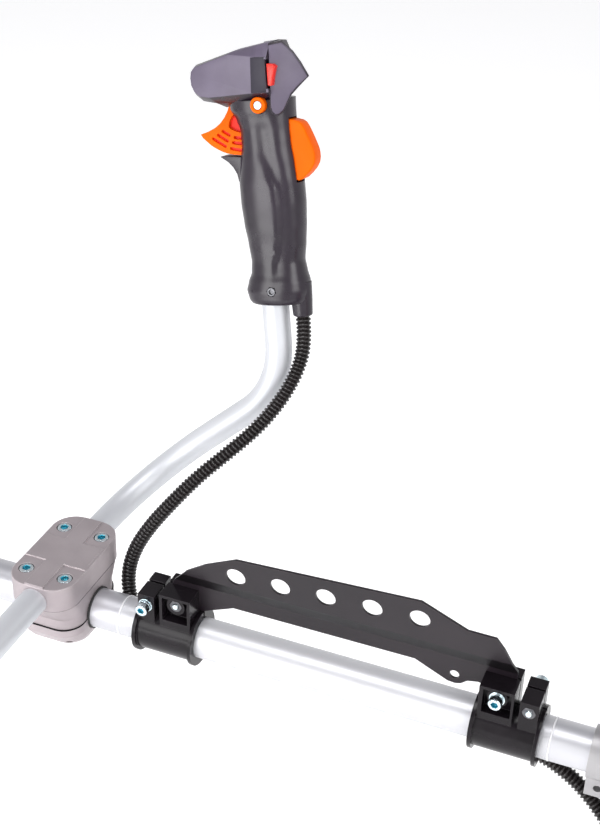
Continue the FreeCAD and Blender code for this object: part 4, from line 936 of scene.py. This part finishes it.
# x, z, y of the bearing face, way along y, length
HANGER_SCREWS = [(FRONT_X + 8.5, NARROW_Z, -15.8, 1, 30), (FRONT_X + 29.5, WIDE_Z, 14, -1, 25.5),
                 (REAR_X - 8.5, NARROW_Z, 15.8, -1, 30), (REAR_X - 29.5, WIDE_Z, -12.6, 1, 31)]
# outer radius, thickness, x, y, z
HANGER_RINGS = [(5, 1.1, FRONT_X + 8.5, -14.1, NARROW_Z), (4.5, 1.6, FRONT_X + 8.5, -15.75, NARROW_Z),
                (5, 1, FRONT_X + 29.5, 13, WIDE_Z), (5, 1.1, REAR_X - 8.5, 13, NARROW_Z),
                (4.5, 1.6, REAR_X - 8.5, 14.15, NARROW_Z), (5.2, 1, REAR_X - 29.5, -11.5, WIDE_Z),
                (4.4, 1, REAR_X - 29.5, -12.55, WIDE_Z)]
# x, y, z and finish; the two dark_screw nuts sit deep in the brackets' hex pockets and are darkened as
# painted shade
HANGER_NUTS = [(FRONT_X + 8.5, 9, NARROW_Z, "zinc"), (FRONT_X + 29.5, -10.5, WIDE_Z, "dark_screw"),
               (REAR_X - 8.5, -13, NARROW_Z, "dark_screw"), (REAR_X - 29.5, 13.05, WIDE_Z, "zinc")]


def make_screws(m):
    heads = []
    for x in (-CLAMP_SCREW_X, CLAMP_SCREW_X):
        for y in (-CLAMP_SCREW_Y, CLAMP_SCREW_Y):
            place = axes_along(at(x, y, 40.5), (0, 0, -1), (math.cos(x + y), math.sin(x + y), 0))
            heads.append(socket_screw(place, 4.9, 4.6, 3.0, 46.3, 2.9, m))
    fitted(merged("clamp_cap_screws", heads), "machine", "zinc_steel", "clamp_screws")
    heads = []
    for x, z, y, way, length in HANGER_SCREWS:
        place = axes_along(at(x, y - 5 * way, z), (0, way, 0))
        heads.append(socket_screw(place, 4.25, 5, 2.5, length, 2.3, m))
    fitted(merged("hanger_cap_screws", heads), "machine", "zinc_steel", "hanger_screws")
    rings = [flat_ring(axes_along(at(x, y, z), (0, 1, 0)), outer, 2.6, thick, m["zinc"])
             for outer, thick, x, y, z in HANGER_RINGS]
    # nuts given dark_screw stand for the painted shade of the brackets' hex pockets
    rings += [hex_nut(axes_along(at(x, y, z), (0, 1, 0)), 4.6, 4, 2.55, m[finish])
              for x, y, z, finish in HANGER_NUTS]
    fitted(merged("hanger_rings", rings), "machine", "zinc_steel", "hanger_nuts_and_washers")


# ----------------------------------------------------------------- clear film on the shaft
FILM_RADIUS, FILM_WALL = 14.06, 0.12
FILM_SPANS = ((47.0, 60.4), (104.6, 297.4), (341.6, 347.5))        # the brackets cover what lies between
FILM_ENDS = (45.9, 347.4)


def make_film(m):
    spans = []
    outer = FILM_RADIUS + FILM_WALL
    for start, end in FILM_SPANS:
        place = axes_along(at(start, 0, 0), (1, 0, 0))
        outline = [(FILM_RADIUS, 0), (outer, 0), (outer, end - start), (FILM_RADIUS, end - start)]
        spans.append(dressed(lathe("film", outline, place, 64, closed=True), m["film"], 40))
    fitted(merged("shaft_film", spans), "machine", "satin_aluminium")
    edges = []
    for start in FILM_ENDS:
        outline = [(14.04, 0), (14.35, 0.25), (14.4, 0.7), (14.35, 1.1), (14.04, 1.35)]
        edges.append(dressed(lathe("edge", outline, axes_along(at(start, 0, 0), (1, 0, 0)), 64, closed=True),
                             m["film_edge"], 60))
    fitted(merged("film_edges", edges), "machine", "satin_aluminium")


make_camera()
make_floor()
make_light()
materials = make_materials()
finish_cad_nodes(materials)
make_conduit(materials)
make_grip(materials)
make_pad(materials)
make_grip_fasteners(materials)
make_trigger(materials)
make_lockout(materials)
make_button(materials)
make_switch(materials)
make_screws(materials)
make_film(materials)
